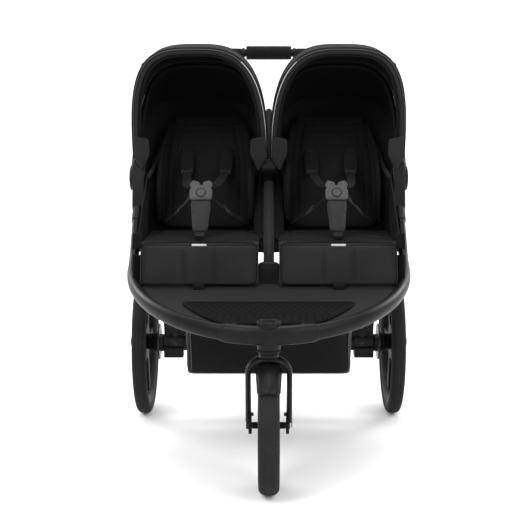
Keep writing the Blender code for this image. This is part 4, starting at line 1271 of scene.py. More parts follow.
def wheel(name, centre, radius, width, span, side, body):
    """Tyre, rim, five spokes with pressed channels, hub with its flanges, and the valve."""
    tyre(f"{name}_tread", centre, radius * FLATTENED, width, body, f"{name}_tyre")
    seat_radius = (radius - TYRE_DEPTH) * FLATTENED + 0.003
    half = width / 2
    lip, bed = half - 0.0035, seat_radius - 0.0165
    rim = [
        (seat_radius, lip), (seat_radius + 0.0030, lip), (seat_radius + 0.0030, lip - 0.0015),
        (seat_radius - 0.002, lip - 0.003)
    ]
    rim += [
        (seat_radius - 0.002, 0.003 - lip), (seat_radius + 0.0030, 0.0015 - lip),
        (seat_radius + 0.0030, -lip)
    ]
    rim += [
        (seat_radius, -lip), (bed + 0.004, -lip * 0.72), (bed, -lip * 0.45), (bed, lip * 0.45),
        (bed + 0.004, lip * 0.72)
    ]
    lathe(f"{name}_rim_ring", rim, centre, X_AXIS, RIM, body, 128, True, [f"{name}_rim"], 28)
    hub_radius = radius * 0.135
    outer = seat_radius - 0.0095
    recess = []
    for spoke in range(SPOKES):
        corners = [
            (radius * 0.27, -0.0042), (outer - 0.017, -0.0068), (outer - 0.017, 0.0068),
            (radius * 0.27, 0.0042)
        ]
        c, s = math.cos(spoke_turn(spoke)), math.sin(spoke_turn(spoke))
        recess.append(rounded([(c * a - s * b, s * a + c * b) for a, b in corners], 0.003))
    matrix = Matrix.Translation(Vector(centre)) @ WHEEL_PLANE
    joined(f"{name}_spokes", spoke_parts(centre, radius, outer), RIM, body)
    for index, shape in enumerate(recess):
        for face, label in ((0.0050, "a"), (-0.0050, "b")):
            placed = matrix @ Matrix.Translation((0, 0, face))
            flat_shape(f"{name}_spoke_{label}{index}", [shape], 0.0022, placed, 0.0006, PLASTIC, body)
    near, far = span
    if side:
        hub = [
            (0, near), (hub_radius * 0.7, near), (hub_radius, near + 0.003), (hub_radius, near + 0.012),
            (hub_radius * 0.82, near + 0.016)
        ]
        hub += [
            (hub_radius * 0.82, far - 0.020), (hub_radius, far - 0.016), (hub_radius, far - 0.003),
            (hub_radius * 0.90, far), (0.0148, far)
        ]
        hub += [(0.0148, far - 0.004), (0, far - 0.004)]
        middle = np.array((0.0, centre[1], centre[2]))
        lathe(f"{name}_hub", hub, middle, (side, 0, 0), RIM, body, 56)
    else:
        half_hub = [(0, 0.034), (0.0072, 0.034), (0.0072, 0.0225), (0.0150, 0.0215), (hub_radius, 0.0195)]
        half_hub += [(hub_radius, 0.012), (hub_radius * 0.8, 0.009)]
        hub = [(r, -x) for r, x in half_hub] + half_hub[::-1]
        lathe(f"{name}_hub", hub, centre, X_AXIS, RIM, body, 56)
    build_valve(name, np.asarray(centre, float), bed, body)


def build_valve(name, centre, bed, body):
    """The valve stem between two spokes."""
    turn = math.radians(180 / SPOKES)
    out = np.array((0.0, math.cos(turn), math.sin(turn)))
    stem = [
        (0, -0.0240), (0.0018, -0.0240), (0.0026, -0.0230), (0.0026, -0.0170), (0.0022, -0.0165),
        (0.0022, -0.0040), (0.0042, -0.0030), (0.0042, 0.001), (0, 0.001)
    ]
    lathe(f"{name}_valve", stem, centre + out * bed, out, DARK_STEEL, body, 18)


def fillet(outline, radius):
    """Rounds the sharp corners of a dense outline."""
    points = [np.array(p, float) for p in outline]
    count, result = len(points), []
    for index in range(count):
        a, b, c = points[index - 1], points[index], points[(index + 1) % count]
        bend = np.dot(unit(b - a), unit(c - b))
        if bend > 0.8:
            result.append(tuple(b))
            continue
        for share in np.linspace(0, 1, 7):
            back = b + unit(a - b) * radius * (1 - share) ** 2
            result.append(tuple(back + unit(c - b) * radius * share**2))
    kept = []
    for p in result:
        if not kept or math.dist(p, kept[-1]) > 0.0006:
            kept.append(p)
    return kept


def build_rear_frame():
    """The legs, the axle beam and its fittings."""
    route = [(LEG_X, 0.094, 0.617), (LEG_X, 0.100, 0.600), (0.299, 0.170, 0.410)]
    route += [(0.290, 0.200, 0.330), (0.262, 0.229, 0.262), (CLAMP_X, 0.240, 0.2300)]
    route = smooth_path(route, 60)
    for side, name in SIDES:
        path = mirrored(route, side)
        rod(
            f"leg_tube_{name}", path[3:], 0.011, PAINT, "rear_frame", (1.0, 0.2, 0.0), 26,
            [f"rear_leg_{name}"]
        )
        boss = barrel(0.019, -0.011, 0.011, 0.0015)
        lathe(
            f"leg_boss_{name}", boss, at(LEG_PIVOT, side * LEG_X), (side, 0, 0), SOFT_PLASTIC, "rear_frame",
            44
        )
        lower = mirrored(route[-9:], side)
        sweep(
            f"leg_socket_{name}", lower, oval(0.029, 0.029, 28), PLASTIC, "rear_frame", (1.0, 0.2, 0.0),
            scale=[0.86] + [1.0] * 8, sharp=30
        )
        clamp = barrel(0.0245, -0.020, 0.020, 0.001)
        lathe(f"beam_clamp_{name}", clamp, at(BEAM, side * CLAMP_X), X_AXIS, PLASTIC, "rear_frame", 44)
        screw_head(
            f"beam_bolt_{name}", (side * CLAMP_X, BEAM[1] - 0.0243, BEAM[2] + 0.002), (0, -1, 0), 0.0058,
            "rear_frame"
        )
        build_leg_web(side, name)
        build_suspension(side, name)
    rod(
        "beam_tube", [(x, BEAM[1], BEAM[2]) for x in np.linspace(-0.2845, 0.2845, 7)], 0.0215, PAINT,
        "rear_frame", sides=40, replaces=["axle_beam"]
    )
    for side, name in SIDES:
        cap = [(0, 0.0), (0.0205, 0.0), (0.022, -0.0015), (0.022, -0.020), (0.0212, -0.021), (0, -0.021)]
        lathe(f"beam_cap_{name}", cap, at(BEAM, side * 0.2847), (side, 0, 0), PLASTIC, "rear_frame", 44)
        y, z = BEAM[1] - 0.002, BEAM[2] - 0.024
        foot = rounded(
            [
                (y - 0.028, z + 0.014), (y - 0.024, z - 0.014), (y + 0.024, z - 0.014),
                (y + 0.028, z + 0.014)
            ],
            0.004
        )
        span = (side * 0.2316, side * 0.2843)
        plate(f"beam_foot_{name}", foot, span, (0.0030, 3), SOFT_PLASTIC, "rear_frame")
    build_brake_pedal()


def build_leg_web(side, name):
    """The moulded web that braces each leg's foot on the beam; it leans back with the leg."""
    outline = [
        (0.2840, 0.212), (0.2845, 0.262), (0.2960, 0.326), (0.2850, 0.326), (0.2600, 0.272),
        (0.2120, 0.240), (0.2080, 0.212)
    ]
    outline = rounded([(side * x, z) for x, z in outline][::side], 0.004)
    verts, faces = plate_mesh(outline, -0.0050, 0.0050, "front")
    leaning = [
        (x, y + float(np.interp(z, (0.208, 0.262, 0.330), (0.243, 0.229, 0.200))), z) for x, y, z in verts
    ]
    block(f"leg_web_{name}", (leaning, faces), (0.0016, 3), SOFT_PLASTIC, "rear_frame")


def build_brake_pedal():
    """The pedal with its ridges, on two brackets behind the beam."""
    pivot_y, pivot_z = BEAM[1] + 0.033, BEAM[2] + 0.006
    tip_y, tip_z = 0.347, 0.226
    outline = hull([(pivot_y, pivot_z, 0.0102), (tip_y, tip_z, 0.005)])
    plate("pedal_body", outline, (-0.045, 0.045), (0.0022, 3), PLASTIC, "brake_pedal", ["brake_pedal"])
    ridges = []
    slope = unit(np.array((tip_y - pivot_y, tip_z - pivot_z)))
    up = np.array((-slope[1], slope[0]))
    for step in range(6):
        base = np.array((pivot_y, pivot_z)) + slope * (0.024 + 0.008 * step) + up * (0.0092 - 0.0006 * step)
        corners = ((-0.0016, -0.002), (0.0016, -0.002), (0.0010, 0.0005), (-0.0010, 0.0005))
        ridges.append(plate_mesh([tuple(base + slope * a + up * b) for a, b in corners], -0.036, 0.036))
    joined("pedal_ridges", ridges, GRIP, "brake_pedal")
    bracket = hull([(pivot_y, pivot_z, 0.0088), (BEAM[1] + 0.010, BEAM[2], 0.014)])
    for side, name in SIDES:
        span = (side * 0.0458, side * 0.0518)
        plate(f"pedal_bracket_{name}", bracket, span, (0.0012, 2), PAINT, "rear_frame")
        screw_head(
            f"pedal_pin_{name}", (side * 0.0520, pivot_y, pivot_z), (side, 0, 0), 0.0046, "rear_frame",
            STEEL
        )


def build_suspension(side, name):
    """A trailing arm with its axle, brake drum, wheel and release cap."""
    axle = np.array((side * REAR_AXLE[0], REAR_AXLE[1], REAR_AXLE[2]))
    body = f"suspension_{name}"
    outline = hull([(BEAM[1], BEAM[2], 0.024), (axle[1], axle[2], 0.018)])
    span, node = (side * 0.2855, side * 0.2995), [f"suspension_arm_{name}"]
    plate(f"arm_body_{name}", outline, span, (0.0030, 3), SOFT_PLASTIC, body, node)
    stub = [
        (0, 0.2990), (0.0095, 0.2990), (0.0095, 0.3004), (0.006, 0.3008), (0.006, 0.3722), (0.0052, 0.3730),
        (0, 0.3730)
    ]
    lathe(f"axle_stub_{name}", stub, (0, axle[1], axle[2]), (side, 0, 0), STEEL, body, 32)
    drum = [
        (0.0070, 0.3000), (0.030, 0.3000), (0.033, 0.3015), (0.0485, 0.3015), (0.050, 0.3028),
        (0.050, 0.3068), (0.0488, 0.3080), (0.0070, 0.3080)
    ]
    lathe(
        f"drum_{name}", drum, (0, axle[1], axle[2]), (side, 0, 0), DARK_STEEL, body, 80, True,
        [f"brake_drum_{name}"]
    )
    screw_head(f"arm_bolt_{name}", at(BEAM, side * 0.2996), (side, 0, 0), 0.0085, body, STEEL)
    wheel(f"rear_wheel_{name}", axle, REAR_RADIUS, 0.038, (0.3090, 0.3780), side, f"rear_wheel_{name}")
    cap = [(0, 0.3852), (0.006, 0.3850), (0.0125, 0.3838), (0.014, 0.3822), (0.014, 0.3765), (0, 0.3765)]
    lathe(
        f"release_cap_{name}", cap, (0, axle[1], axle[2]), (side, 0, 0), GRIP, f"wheel_release_{name}", 40,
        replaces=[f"wheel_release_{name}"]
    )


def build_fork():
    """The fork in one bend, its tips, collar and axle, with the guard and wheel."""
    rake = math.atan2(SWIVEL_Y - FRONT_AXLE[1], 0.158)
    plane = Matrix.Translation(Vector(FRONT_AXLE)) @ Matrix.Rotation(math.pi / 2 - rake, 4, "X")
    outer, inner = 0.0500, 0.0374
    crown, shoulder, bar = 0.1705, 0.1296, 0.0122
    middle = (outer + inner) / 2
    turns = np.linspace(0, math.pi, 41)
    bend = [(middle * math.cos(t), shoulder + (crown - shoulder - bar / 2) * math.sin(t)) for t in turns]
    leg = [(middle, height) for height in np.linspace(0.014, shoulder - 0.004, 18)]
    route = leg + bend + [(-a, b) for a, b in leg[::-1]]
    path = np.array([tuple(plane @ Vector((a, b, 0.0))) for a, b in route])
    normal = tuple(plane.to_3x3() @ Vector((0, 0, 1)))
    sweep("fork_body", path, oval(bar, 0.0256, 28, 2.5), PAINT, "fork", normal, replaces=["fork"])
    for side, name in SIDES:
        tip = [
            (0.0366, -0.0145), (0.0434, -0.0145), (0.0440, 0.0120), (0.0470, 0.0200), (0.0384, 0.0220),
            (0.0368, 0.0140)
        ]
        outline = [(side * a, b) for a, b in tip][::side]
        flat_shape(f"fork_tip_{name}", [outline], 0.0240, plane, 0.0012, PAINT, "fork")
    collar = [(0, 0.3055), (0.0195, 0.3055), (0.021, 0.307), (0.021, 0.3140), (0.0202, 0.3147), (0, 0.3147)]
    lathe("fork_collar", collar, (0, SWIVEL_Y, 0), Z_AXIS, SOFT_PLASTIC, "fork", 48)
    up = plane.to_3x3() @ Vector((0, 1, 0))
    peg = Vector(FRONT_AXLE) + up * 0.028
    for side, name in SIDES:
        peg_profile = [(0, 0.0058), (0.0030, 0.0056), (0.0040, 0.0046), (0.0040, -0.0020), (0, -0.0020)]
        lathe(
            f"fork_peg_{name}", peg_profile, (side * 0.0380, *peg[1:]), (-side, 0, 0), DARK_STEEL, "fork",
            24
        )
    axle = [
        (0, 0.0455), (0.0068, 0.0455), (0.0080, 0.0447), (0.0080, 0.0438), (0.0050, 0.0438),
        (0.0050, 0.0366), (0.0070, 0.0364), (0.0070, 0.0342), (0.0048, 0.0340)
    ]
    axle += [
        (0.0048, -0.0340), (0.0070, -0.0342), (0.0070, -0.0364), (0.0050, -0.0366), (0.0050, -0.0438),
        (0.0080, -0.0438), (0.0080, -0.0478), (0.0068, -0.0490), (0, -0.0490)
    ]
    lathe("front_axle_rod", axle, FRONT_AXLE, X_AXIS, DARK_STEEL, "fork", 36, replaces=["front_axle"])
    build_lever()
    build_fender()
    wheel("front_wheel", FRONT_AXLE, FRONT_RADIUS, 0.0452, (-0.034, 0.034), 0, "front_wheel")


def build_lever():
    """The quick-release lever and its pad."""
    y, z = FRONT_AXLE[1], FRONT_AXLE[2]
    corners = [
        (y - 0.0025, z - 0.005), (y + 0.020, z - 0.0012), (y + 0.058, z + 0.004), (y + 0.056, z + 0.012),
        (y + 0.020, z + 0.0086), (y - 0.0025, z + 0.005)
    ]
    outline, body = rounded(corners, 0.003), "quick_release_lever"
    plate("lever_body", outline, (0.0473, 0.0503), (0.0010, 3), STEEL, body, [body])
    pad = rounded(
        [
            (y + 0.036, z + 0.0035), (y + 0.055, z + 0.0062), (y + 0.054, z + 0.0102),
            (y + 0.035, z + 0.0082)
        ],
        0.0018
    )
    plate("lever_pad", pad, (0.0499, 0.0507), (0.0003, 1), GRIP, body)


def build_fender():
    """The front guard: a curved skin with rolled edges and a raised spine."""
    radius, rows, columns = 0.1565, 44, 21

    def skin(row, column):
        turn = math.radians(35 + 107 * row)
        end = abs(2 * row - 1)
        half_width = 0.0284 - 0.0060 * end**1.5 - 0.005 * float(ease(end, 0.93, 1.0))
        lean = math.pi / 2 * (2 * column - 1)
        reach = radius - 0.014 * (1 - math.cos(lean)) - 0.0012
        reach += 0.0012 * math.exp(-((2 * column - 1) / 0.16) ** 2)
        x = half_width * math.sin(lean)
        return np.array((x, FRONT_AXLE[1] + reach * math.cos(turn), FRONT_AXLE[2] + reach * math.sin(turn)))

    verts, faces = grid_mesh(skin, rows, columns)
    item = piece("fender_shell", verts, faces, SOFT_PLASTIC, "fork", ["fender"], 50, outward=False)
    thick(item, 0.0024, -1.0 if item.data.polygons[columns * 10].normal.z > 0 else 1.0)
    edges = []
    for column in (0.02, 0.98):
        path = [skin(row, column) for row in np.linspace(0, 1, 60)]
        edges.append(sweep_mesh(path, oval(0.0030, 0.0030, 8), X_AXIS))
    joined("fender_rim", edges, SOFT_PLASTIC, "fork")
    stay = [np.array((0, SWIVEL_Y + 0.006, 0.3070)), np.array((0, SWIVEL_Y + 0.010, 0.2985))]
    sweep("fender_stay", stay, oval(0.016, 0.020, 16, 3), PLASTIC, "fork", (0, 1, 0))


# Seats
def backrest_place(side, across, along, lift):
    """A point given across the seat, up the backrest and in front of its middle plane."""
    y = BIGHT[1] + math.cos(BACKREST_ANGLE) * along - math.sin(BACKREST_ANGLE) * lift
    z = BIGHT[2] + math.sin(BACKREST_ANGLE) * along + math.cos(BACKREST_ANGLE) * lift
    return np.array((side * SEAT_X + across, y, z))


def backrest_frame(points, side):
    """The inverse: across, along and lift of points in the row frame."""
    rel = np.asarray(points) - np.array((side * SEAT_X, BIGHT[1], BIGHT[2]))
    c, s = math.cos(BACKREST_ANGLE), math.sin(BACKREST_ANGLE)
    return rel[:, 0], rel[:, 1] * c + rel[:, 2] * s, rel[:, 2] * c - rel[:, 1] * s


CALF_FOOT, CALF_TOP = np.array((-0.208, 0.418)), np.array((-0.180, 0.524))
CALF_CHANNEL_X = 0.0345


def build_seat_pad(side, name):
    """The seat with its calf panel: one stuffed form, sewn across its front edge and down the calf."""
    inset = -0.0015
    profile = [
        (-0.206, 0.421), (-0.188, 0.421), (-0.166, 0.500), (0.067, 0.509), (0.067, 0.531), (-0.176, 0.520)
    ]
    near = side * SEAT_X - SEAT_HALF_WIDTH + inset
    far = side * SEAT_X + SEAT_HALF_WIDTH - inset
    outline = rounded(profile, 0.007, 3)
    verts, faces = plate_mesh(outline, near, far)
    pad = piece(f"seat_cushion_{name}", verts, faces, SEAT, None, [f"seat_pad_{name}"])

    def at_piped_edge(point):
        beside = abs(point[0] - side * SEAT_X) > 0.1335
        return beside or point[2] < 0.4265 or point[1] > 0.0610

    puffed(pad, 0.0055, 4.0, 0.0065, at_piped_edge)
    down = unit(CALF_FOOT - CALF_TOP)
    out = np.array((down[1], -down[0]))

    def depth_at(points):
        rel = points[:, 1:] - CALF_TOP
        below = rel @ down
        proud = rel @ out
        across = points[:, 0] - side * SEAT_X
        front = np.clip(1 - np.abs(proud) / 0.016, 0, 1) ** 0.5 * (below > -0.01)
        calf = ease(below, 0.010, 0.018)
        total = front * calf * channel(np.abs(across) - CALF_CHANNEL_X, 0.0036, 0.0042)
        total += front * channel(below - 0.0115, 0.0024, 0.0030)
        total += front * calf * channel(np.abs(across) - 0.125, 0.0022, 0.0018)
        top = np.clip(1 - np.abs(points[:, 2] - 0.532) / 0.014, 0, 1) * (points[:, 1] > -0.165)
        total += top * channel(np.abs(across) - 0.110, 0.0035, 0.0030)
        total += top * channel(points[:, 1] + 0.135, 0.0030, 0.0026)
        total += top * 0.0016 * (0.5 + 0.5 * np.sin(points[:, 1] * 95 + across * 22))
        return total

    sewn(pad, depth_at)
    # Faces that look up, behind the calf panel, take the darker cloth: painted shade, the seat's top darker than its
    # lit front.
    pad.data.materials.append(SEAT_DARK)
    for face in pad.data.polygons:
        if face.center.y > -0.168 and face.normal.z > 0.3:
            face.material_index = 1
    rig.ride(pad, "chassis")
    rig.padded(pad, 0.6)
    build_seat_trim(side, name, down, out)


def calf_place(side, across, below, proud, down, out):
    """A point on the calf panel: across the seat, below its top edge and proud of it."""
    place = CALF_TOP + down * below + out * proud
    return np.array((side * SEAT_X + across, *place))


def build_seat_trim(side, name, down, out):
    """Piping round the calf panel, its stitches, the plain tab and the strap loop below."""
    half, length = 0.1335, 0.103
    corners = [(-half, 0.006), (-half, length), (half, length), (half, 0.006)]
    border = [calf_place(side, a, b, 0.0045, down, out) for a, b in rounded(corners, 0.016, 8)]
    sweep(f"calf_piping_{name}", border, oval(0.0030, 0.0030, 10), SEAT_DARK, "chassis", (0, *out), True)
    for index, sign in enumerate((-1, 1)):
        for offset in (-0.0042, 0.0042):
            path = [
                calf_place(side, sign * CALF_CHANNEL_X + offset, b, 0.0062, down, out)
                for b in np.linspace(0.020, 0.096, 24)
            ]
            label = f"calf_stitch_{name}_{index}{'a' if offset < 0 else 'b'}"
            stitched_line(label, path, (0, *out), "chassis", 0.0028, 0.0020, 0.0003, SEAT_DARK)
    path = [calf_place(side, a, 0.0150, 0.0060, down, out) for a in np.linspace(-0.122, 0.122, 50)]
    stitched_line(
        f"seat_front_stitch_{name}", path, (0, *out), "chassis", 0.0028, 0.0020, 0.0003, GREY_TAPE
    )

    def tab(row, column):
        below, across = 0.0098 + 0.0048 * row, -0.0170 + 0.034 * column
        bow = 0.0006 * math.sin(math.pi * row)
        return calf_place(side, across, below, 0.0072 + bow, down, out)

    cloth_sheet(f"plain_tab_{name}", tab, 7, 17, 0.0008, LABEL, "chassis")
    loop = [
        calf_place(side, 0.0, 0.098 + r * 0.024, 0.0075 + 0.004 * math.sin(math.pi * r), down, out)
        for r in np.linspace(0, 1, 12)
    ]
    loop += [
        calf_place(side, 0.0, 0.122 - r * 0.022, 0.002 - 0.003 * math.sin(math.pi * r), down, out)
        for r in np.linspace(0, 1, 10)
    ]
    band = oval(0.026, 0.0018, 16, 6)
    sweep(f"calf_loop_{name}", loop, band, WEBBING, "chassis", (0, *out))


def build_backrest(side, name):
    """The quilted backrest pad, its piping and its headband, and the bolsters beside it."""
    wide, narrow, length, inset = 0.122, 0.098, 0.340, 0.004
    half = [(wide - inset, inset), (wide - inset, 0.20), (narrow - inset, length - inset)]
    outline = rounded(
        [(-wide + inset, inset), *half, (inset - narrow, length - inset), (inset - wide, 0.20)], 0.028, 6
    )
    slab = cushion_mesh(outline, 0.024, partial(backrest_place, side), 0.002)
    # The backrest and its headband take a darker copy of the seat cloth: painted shade under the hood.
    pad = joined(f"backrest_cushion_{name}", [slab], SEAT_BACK, None, [f"backrest_{name}"])

    def edge_at(along):
        """The pad's half width at a given height."""
        return wide - (wide - narrow) * np.clip((along - 0.20) / 0.14, 0, 1)

    def at_bound_edge(point):
        across, along, _ = (float(value[0]) for value in backrest_frame(np.array([point]), side))
        return abs(across) > edge_at(along) - 0.0105 or along < 0.0125 or along > length - 0.0125

    puffed(pad, 0.0055, 4.0, 0.0060, at_bound_edge)

    def depth_at(points):
        across, along, lift = backrest_frame(points, side)
        face = np.clip(np.abs(lift) / 0.010, 0, 1) ** 2
        rail = np.abs(across) - (edge_at(along) - 0.034)
        total = channel(rail, 0.0036, 0.0042) * ease(along, 0.01, 0.03)
        middle = np.clip(-rail / 0.006, 0, 1)
        for height in (0.075, 0.150, 0.225, 0.292):
            total += channel(along - height, 0.0034, 0.0034) * middle
        return total * face

    sewn(pad, depth_at)
    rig.ride(pad, f"backrest_{name}")
    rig.padded(pad, 0.6)
    back = rounded(
        [(-0.112, 0.020), (0.112, 0.020), (0.112, 0.200), (0.090, 0.330), (-0.090, 0.330), (-0.112, 0.200)],
        0.024, 8
    )
    ring = [backrest_place(side, a, b, -0.0135) for a, b in back]
    normal = backrest_place(side, 0, 0, -1) - backrest_place(side, 0, 0, 0)
    sweep(
        f"backrest_back_piping_{name}", ring, oval(0.0034, 0.0034, 10), SEAT_DARK, f"backrest_{name}",
        normal, True
    )

    def headband(row, column):
        across = (-0.090 + 0.180 * column) * (1 - 0.05 * row)
        lift = 0.0155 - 0.018 * row**3
        return backrest_place(side, across, 0.312 + 0.029 * row, lift)

    cloth_sheet(f"backrest_headband_{name}", headband, 10, 40, 0.0022, SEAT_BACK, f"backrest_{name}")
    build_bolsters(side, name)


BOLSTER = [
    (0.010, 0.010), (0.004, 0.048), (0.050, 0.082), (0.104, 0.094), (0.200, 0.064), (0.312, 0.020),
    (0.300, 0.006)
]


def build_bolsters(side, name):
    """The padded walls that come forward from the backrest's two edges."""
    for sign, label in ((-1, "a"), (1, "b")):
        outline = fillet(rounded(BOLSTER, 0.014, 5), 0.003)

        def place(along, lift, across):
            edge = 0.114 - 0.020 * float(ease(along, 0.18, 0.34))
            return backrest_place(side, sign * (edge + across), along, lift)

        slab = cushion_mesh(outline, 0.009, place)
        # The bolsters and their bindings take the darker seat cloth: painted shade at the seat's sides.
        wall = joined(f"bolster_{name}_{label}", [slab], SEAT_DARK, None)
        puffed(wall, 0.0045, 4.0, 0.0040)
        subdivided(wall)
        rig.ride(wall, f"backrest_{name}")
        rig.padded(wall, 0.5)
        lip = smooth_path([place(a, b, 0.0) for a, b in BOLSTER[1:6]], 60)
        section = oval(0.0100, 0.0042, 14, 3)
        sweep(f"bolster_binding_{name}_{label}", lip, section, SEAT_DARK, f"backrest_{name}", BACKREST_OUT)


def build_wings(side, name):
    """The cloth wall between the seat's edge and the frame, bound along its top."""
    outer = smooth_path(
        [(0.0, -0.168, 0.522), (0.0, -0.110, 0.561), (0.0, 0.020, 0.643), (0.0, 0.064, 0.672)], 60
    )

    def wall(row, column):
        top = outer[int(round(column * 59))]
        foot_y, foot_z = -0.168 + 0.232 * column, 0.514
        y = top[1] * row + foot_y * (1 - row)
        z = foot_z + (top[2] - foot_z) * row
        bow = 0.0045 * math.sin(math.pi * row) * math.sin(math.pi * column) + 0.0015 * ripple(
            (y, z, 0), 24.0, 2.0
        )
        return np.array((side * (0.3060 - bow), y, z))

    # The wall takes the darker seat cloth: painted shade in the recess beside the seat.
    sheet = cloth_sheet(
        f"seat_wall_{name}", wall, 22, 60, 0.0024, SEAT_DARK, "chassis", [f"seat_wing_{name}"]
    )
    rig.sheet(sheet, flat=(0.250, 0.155), held="stretched", rests_on=[f"seat_cushion_{name}"], area=0.0200)
    rim = [np.array((side * 0.3060, p[1], p[2])) for p in outer]
    sweep(f"seat_wall_binding_{name}", rim, oval(0.0052, 0.0080, 14, 3), SEAT_DARK, "chassis")
    build_inner_wall(side, name)


def build_inner_wall(side, name):
    """The cloth from the seat's inner edge up to the centre rail's cover."""
    foot, knee = np.array(RAIL_FOOT), np.array(RAIL_KNEE)

    def wall(row, column):
        y = -0.060 + 0.165 * column
        rail = foot[1] + (knee[1] - foot[1]) * (y - foot[0]) / (knee[0] - foot[0])
        low = min(0.520, rail - 0.006)
        z = low + (rail - low) * row
        x = 0.0240 - 0.0125 * row + 0.0020 * math.sin(math.pi * row)
        return np.array((side * x, y, z))

    # The wall takes the darker seat cloth: painted shade in the recess beside the centre rail.
    sheet = cloth_sheet(f"inner_wall_{name}", wall, 16, 40, 0.0022, SEAT_DARK, "chassis")
    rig.sheet(
        sheet, flat=(0.165, 0.115), held="stretched",
        rests_on=[f"seat_cushion_{name}", "centre_rail_cover"], area=0.0105
    )


def build_gussets(side, name):
    """The cloth that closes the seat's corners: outside, from the wall round to the backrest, and inside."""

    def outer(row, column):
        along = 0.004 + 0.293 * row
        edge = 0.1235 - 0.0195 * float(ease(along, 0.20, 0.31))
        loose = 0.010 * float(ease(row, 0.7, 1.0))
        behind = backrest_place(1, edge - 0.012, along, -0.0190)
        beside = backrest_place(1, edge + 0.0010, along, -0.0040)
        nearer = (0.2872 + loose, 0.079 + 2 * loose, 0.516 + 0.165 * row)
        front = (0.2965 + 0.7 * loose, 0.066, 0.514 + 0.155 * row)
        path = [(0.3048, 0.046, 0.512 + 0.150 * row), front, nearer, beside, behind]
        x, y, z = even_polyline(path, 61)[int(round(column * 60))]
        return np.array((side * x, y, z))

    bight = at(BIGHT, side * SEAT_X)
    span = (plain(bight + BACKREST_OUT * 0.075), plain(bight + BACKREST_OUT * 0.004))
    # The gusset takes the darker seat cloth: painted shade in the seat's corner.
    sheet = cloth_sheet(f"outer_gusset_{name}", outer, 30, 61, 0.0018, SEAT_DARK, None)
    area = mesh_area(sheet)
    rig.sheet(
        sheet, flat=(area / 0.24 * 1.2, 0.24), held="stretched", rests_on=[f"seat_wall_{name}"], area=area
    )
    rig.blend(sheet, "chassis", f"backrest_{name}", *span)
    rim = [outer(1.0, column) for column in np.linspace(0.02, 0.92, 50)]
    binding = sweep(f"gusset_binding_{name}", rim, oval(0.0090, 0.0090, 14, 3), FLAP, None, (0, 0, 1))
    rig.blend(binding, "chassis", f"backrest_{name}", *span)
    build_inner_gusset(side, name, bight)
    build_side_panels(side, name)


def build_inner_gusset(side, name, bight):
    """The cloth from the centre rail's cover round to the backrest's inner edge."""

    def back_edge(z):
        return max(0.062, BIGHT[1] + (z - BIGHT[2]) / math.tan(BACKREST_ANGLE) + 0.010)

    def rail_edge(z):
        if z < RAIL_KNEE[1]:
            return RAIL_FOOT[0] + (z - RAIL_FOOT[1]) / 0.1904 * 0.272
        return RAIL_KNEE[0] + (z - RAIL_KNEE[1]) * 0.175 / 0.186

    def inner(row, column):
        z = 0.488 + 0.212 * row
        rail, back = rail_edge(z), back_edge(z)
        path = [(0.0090, rail), (0.0170, rail + 0.010), (0.0280, rail + 0.020), (0.0365, rail + 0.034)]
        path += [(0.0378, max(rail + 0.036, back - 0.004)), (0.0386, max(rail + 0.040, back + 0.009))]
        path += [(0.0560, max(rail + 0.044, back + 0.0125))]
        x, y = even_polyline(path, 61)[int(round(column * 60))]
        return np.array((side * x, y, z))

    # The gusset takes the darker seat cloth: painted shade in the seat's inner corner.
    sheet = cloth_sheet(f"inner_gusset_{name}", inner, 30, 61, 0.0018, SEAT_DARK, None)
    area = mesh_area(sheet)
    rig.sheet(
        sheet, flat=(area / 0.24 * 1.2, 0.24), held="stretched", rests_on=["centre_rail_cover"], area=area
    )
    span = (plain(bight + BACKREST_OUT * 0.050), plain(bight + BACKREST_OUT * 0.004))
    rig.blend(sheet, "chassis", f"backrest_{name}", *span)


def build_side_panels(side, name):
    """The cloth beside the calf panel, below and above the hoop, and the strip behind the seat."""
    for label, low, high in (("low", 0.424, 0.489), ("high", 0.505, 0.540)):

        def side_panel(row, column):
            z = low + (high - low) * row
            y = -0.176 + 0.012 * row - 0.010 * column
            return np.array((side * (0.2960 + 0.0220 * column), y, z))

        # The panels take the darker seat cloth: painted shade beside the calf panel.
        cloth = cloth_sheet(f"side_panel_{label}_{name}", side_panel, 12, 10, 0.0018, SEAT_DARK, "chassis")
        flat = (0.0245, high - low + 0.002)
        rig.sheet(
            cloth, flat=flat, held="stretched", rests_on=[f"seat_cushion_{name}"],
            area=mesh_area(cloth) * 0.99
        )

    def strip(row, column):
        x = -0.1262 + 0.2524 * column
        y, z = 0.052 + 0.052 * row, 0.5085 + 0.004 * row + 0.034 * row**2
        return np.array((side * SEAT_X + x, y, z))

    # The strip takes the darker seat cloth: painted shade behind the seat.
    sheet = cloth_sheet(f"bight_strip_{name}", strip, 14, 30, 0.0018, SEAT_DARK, "chassis")
    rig.sheet(
        sheet, flat=(0.2524, 0.068), held="stretched", rests_on=[f"seat_cushion_{name}"],
        area=mesh_area(sheet) * 0.99
    )


# Harness
def lean_frame(side):
    """The crotch strap's foot, and the directions up along it and out of it."""
    foot = np.array((side * SEAT_X, -0.147, 0.5490))
    up = np.array((0.0, math.cos(HARNESS_ANGLE), math.sin(HARNESS_ANGLE)))
    out = np.array((0.0, -math.sin(HARNESS_ANGLE), math.cos(HARNESS_ANGLE)))
    return foot, up, out


def strap(name, points, width, body, facing, thickness=0.0016, count=48, material=None):
    """A flat tape along a smooth path, its face turned to the facing direction."""
    path = smooth_path(points, count)
    section = oval(width, thickness, 20, 7)
    return sweep(name, path, section, material or WEBBING, body, facing)


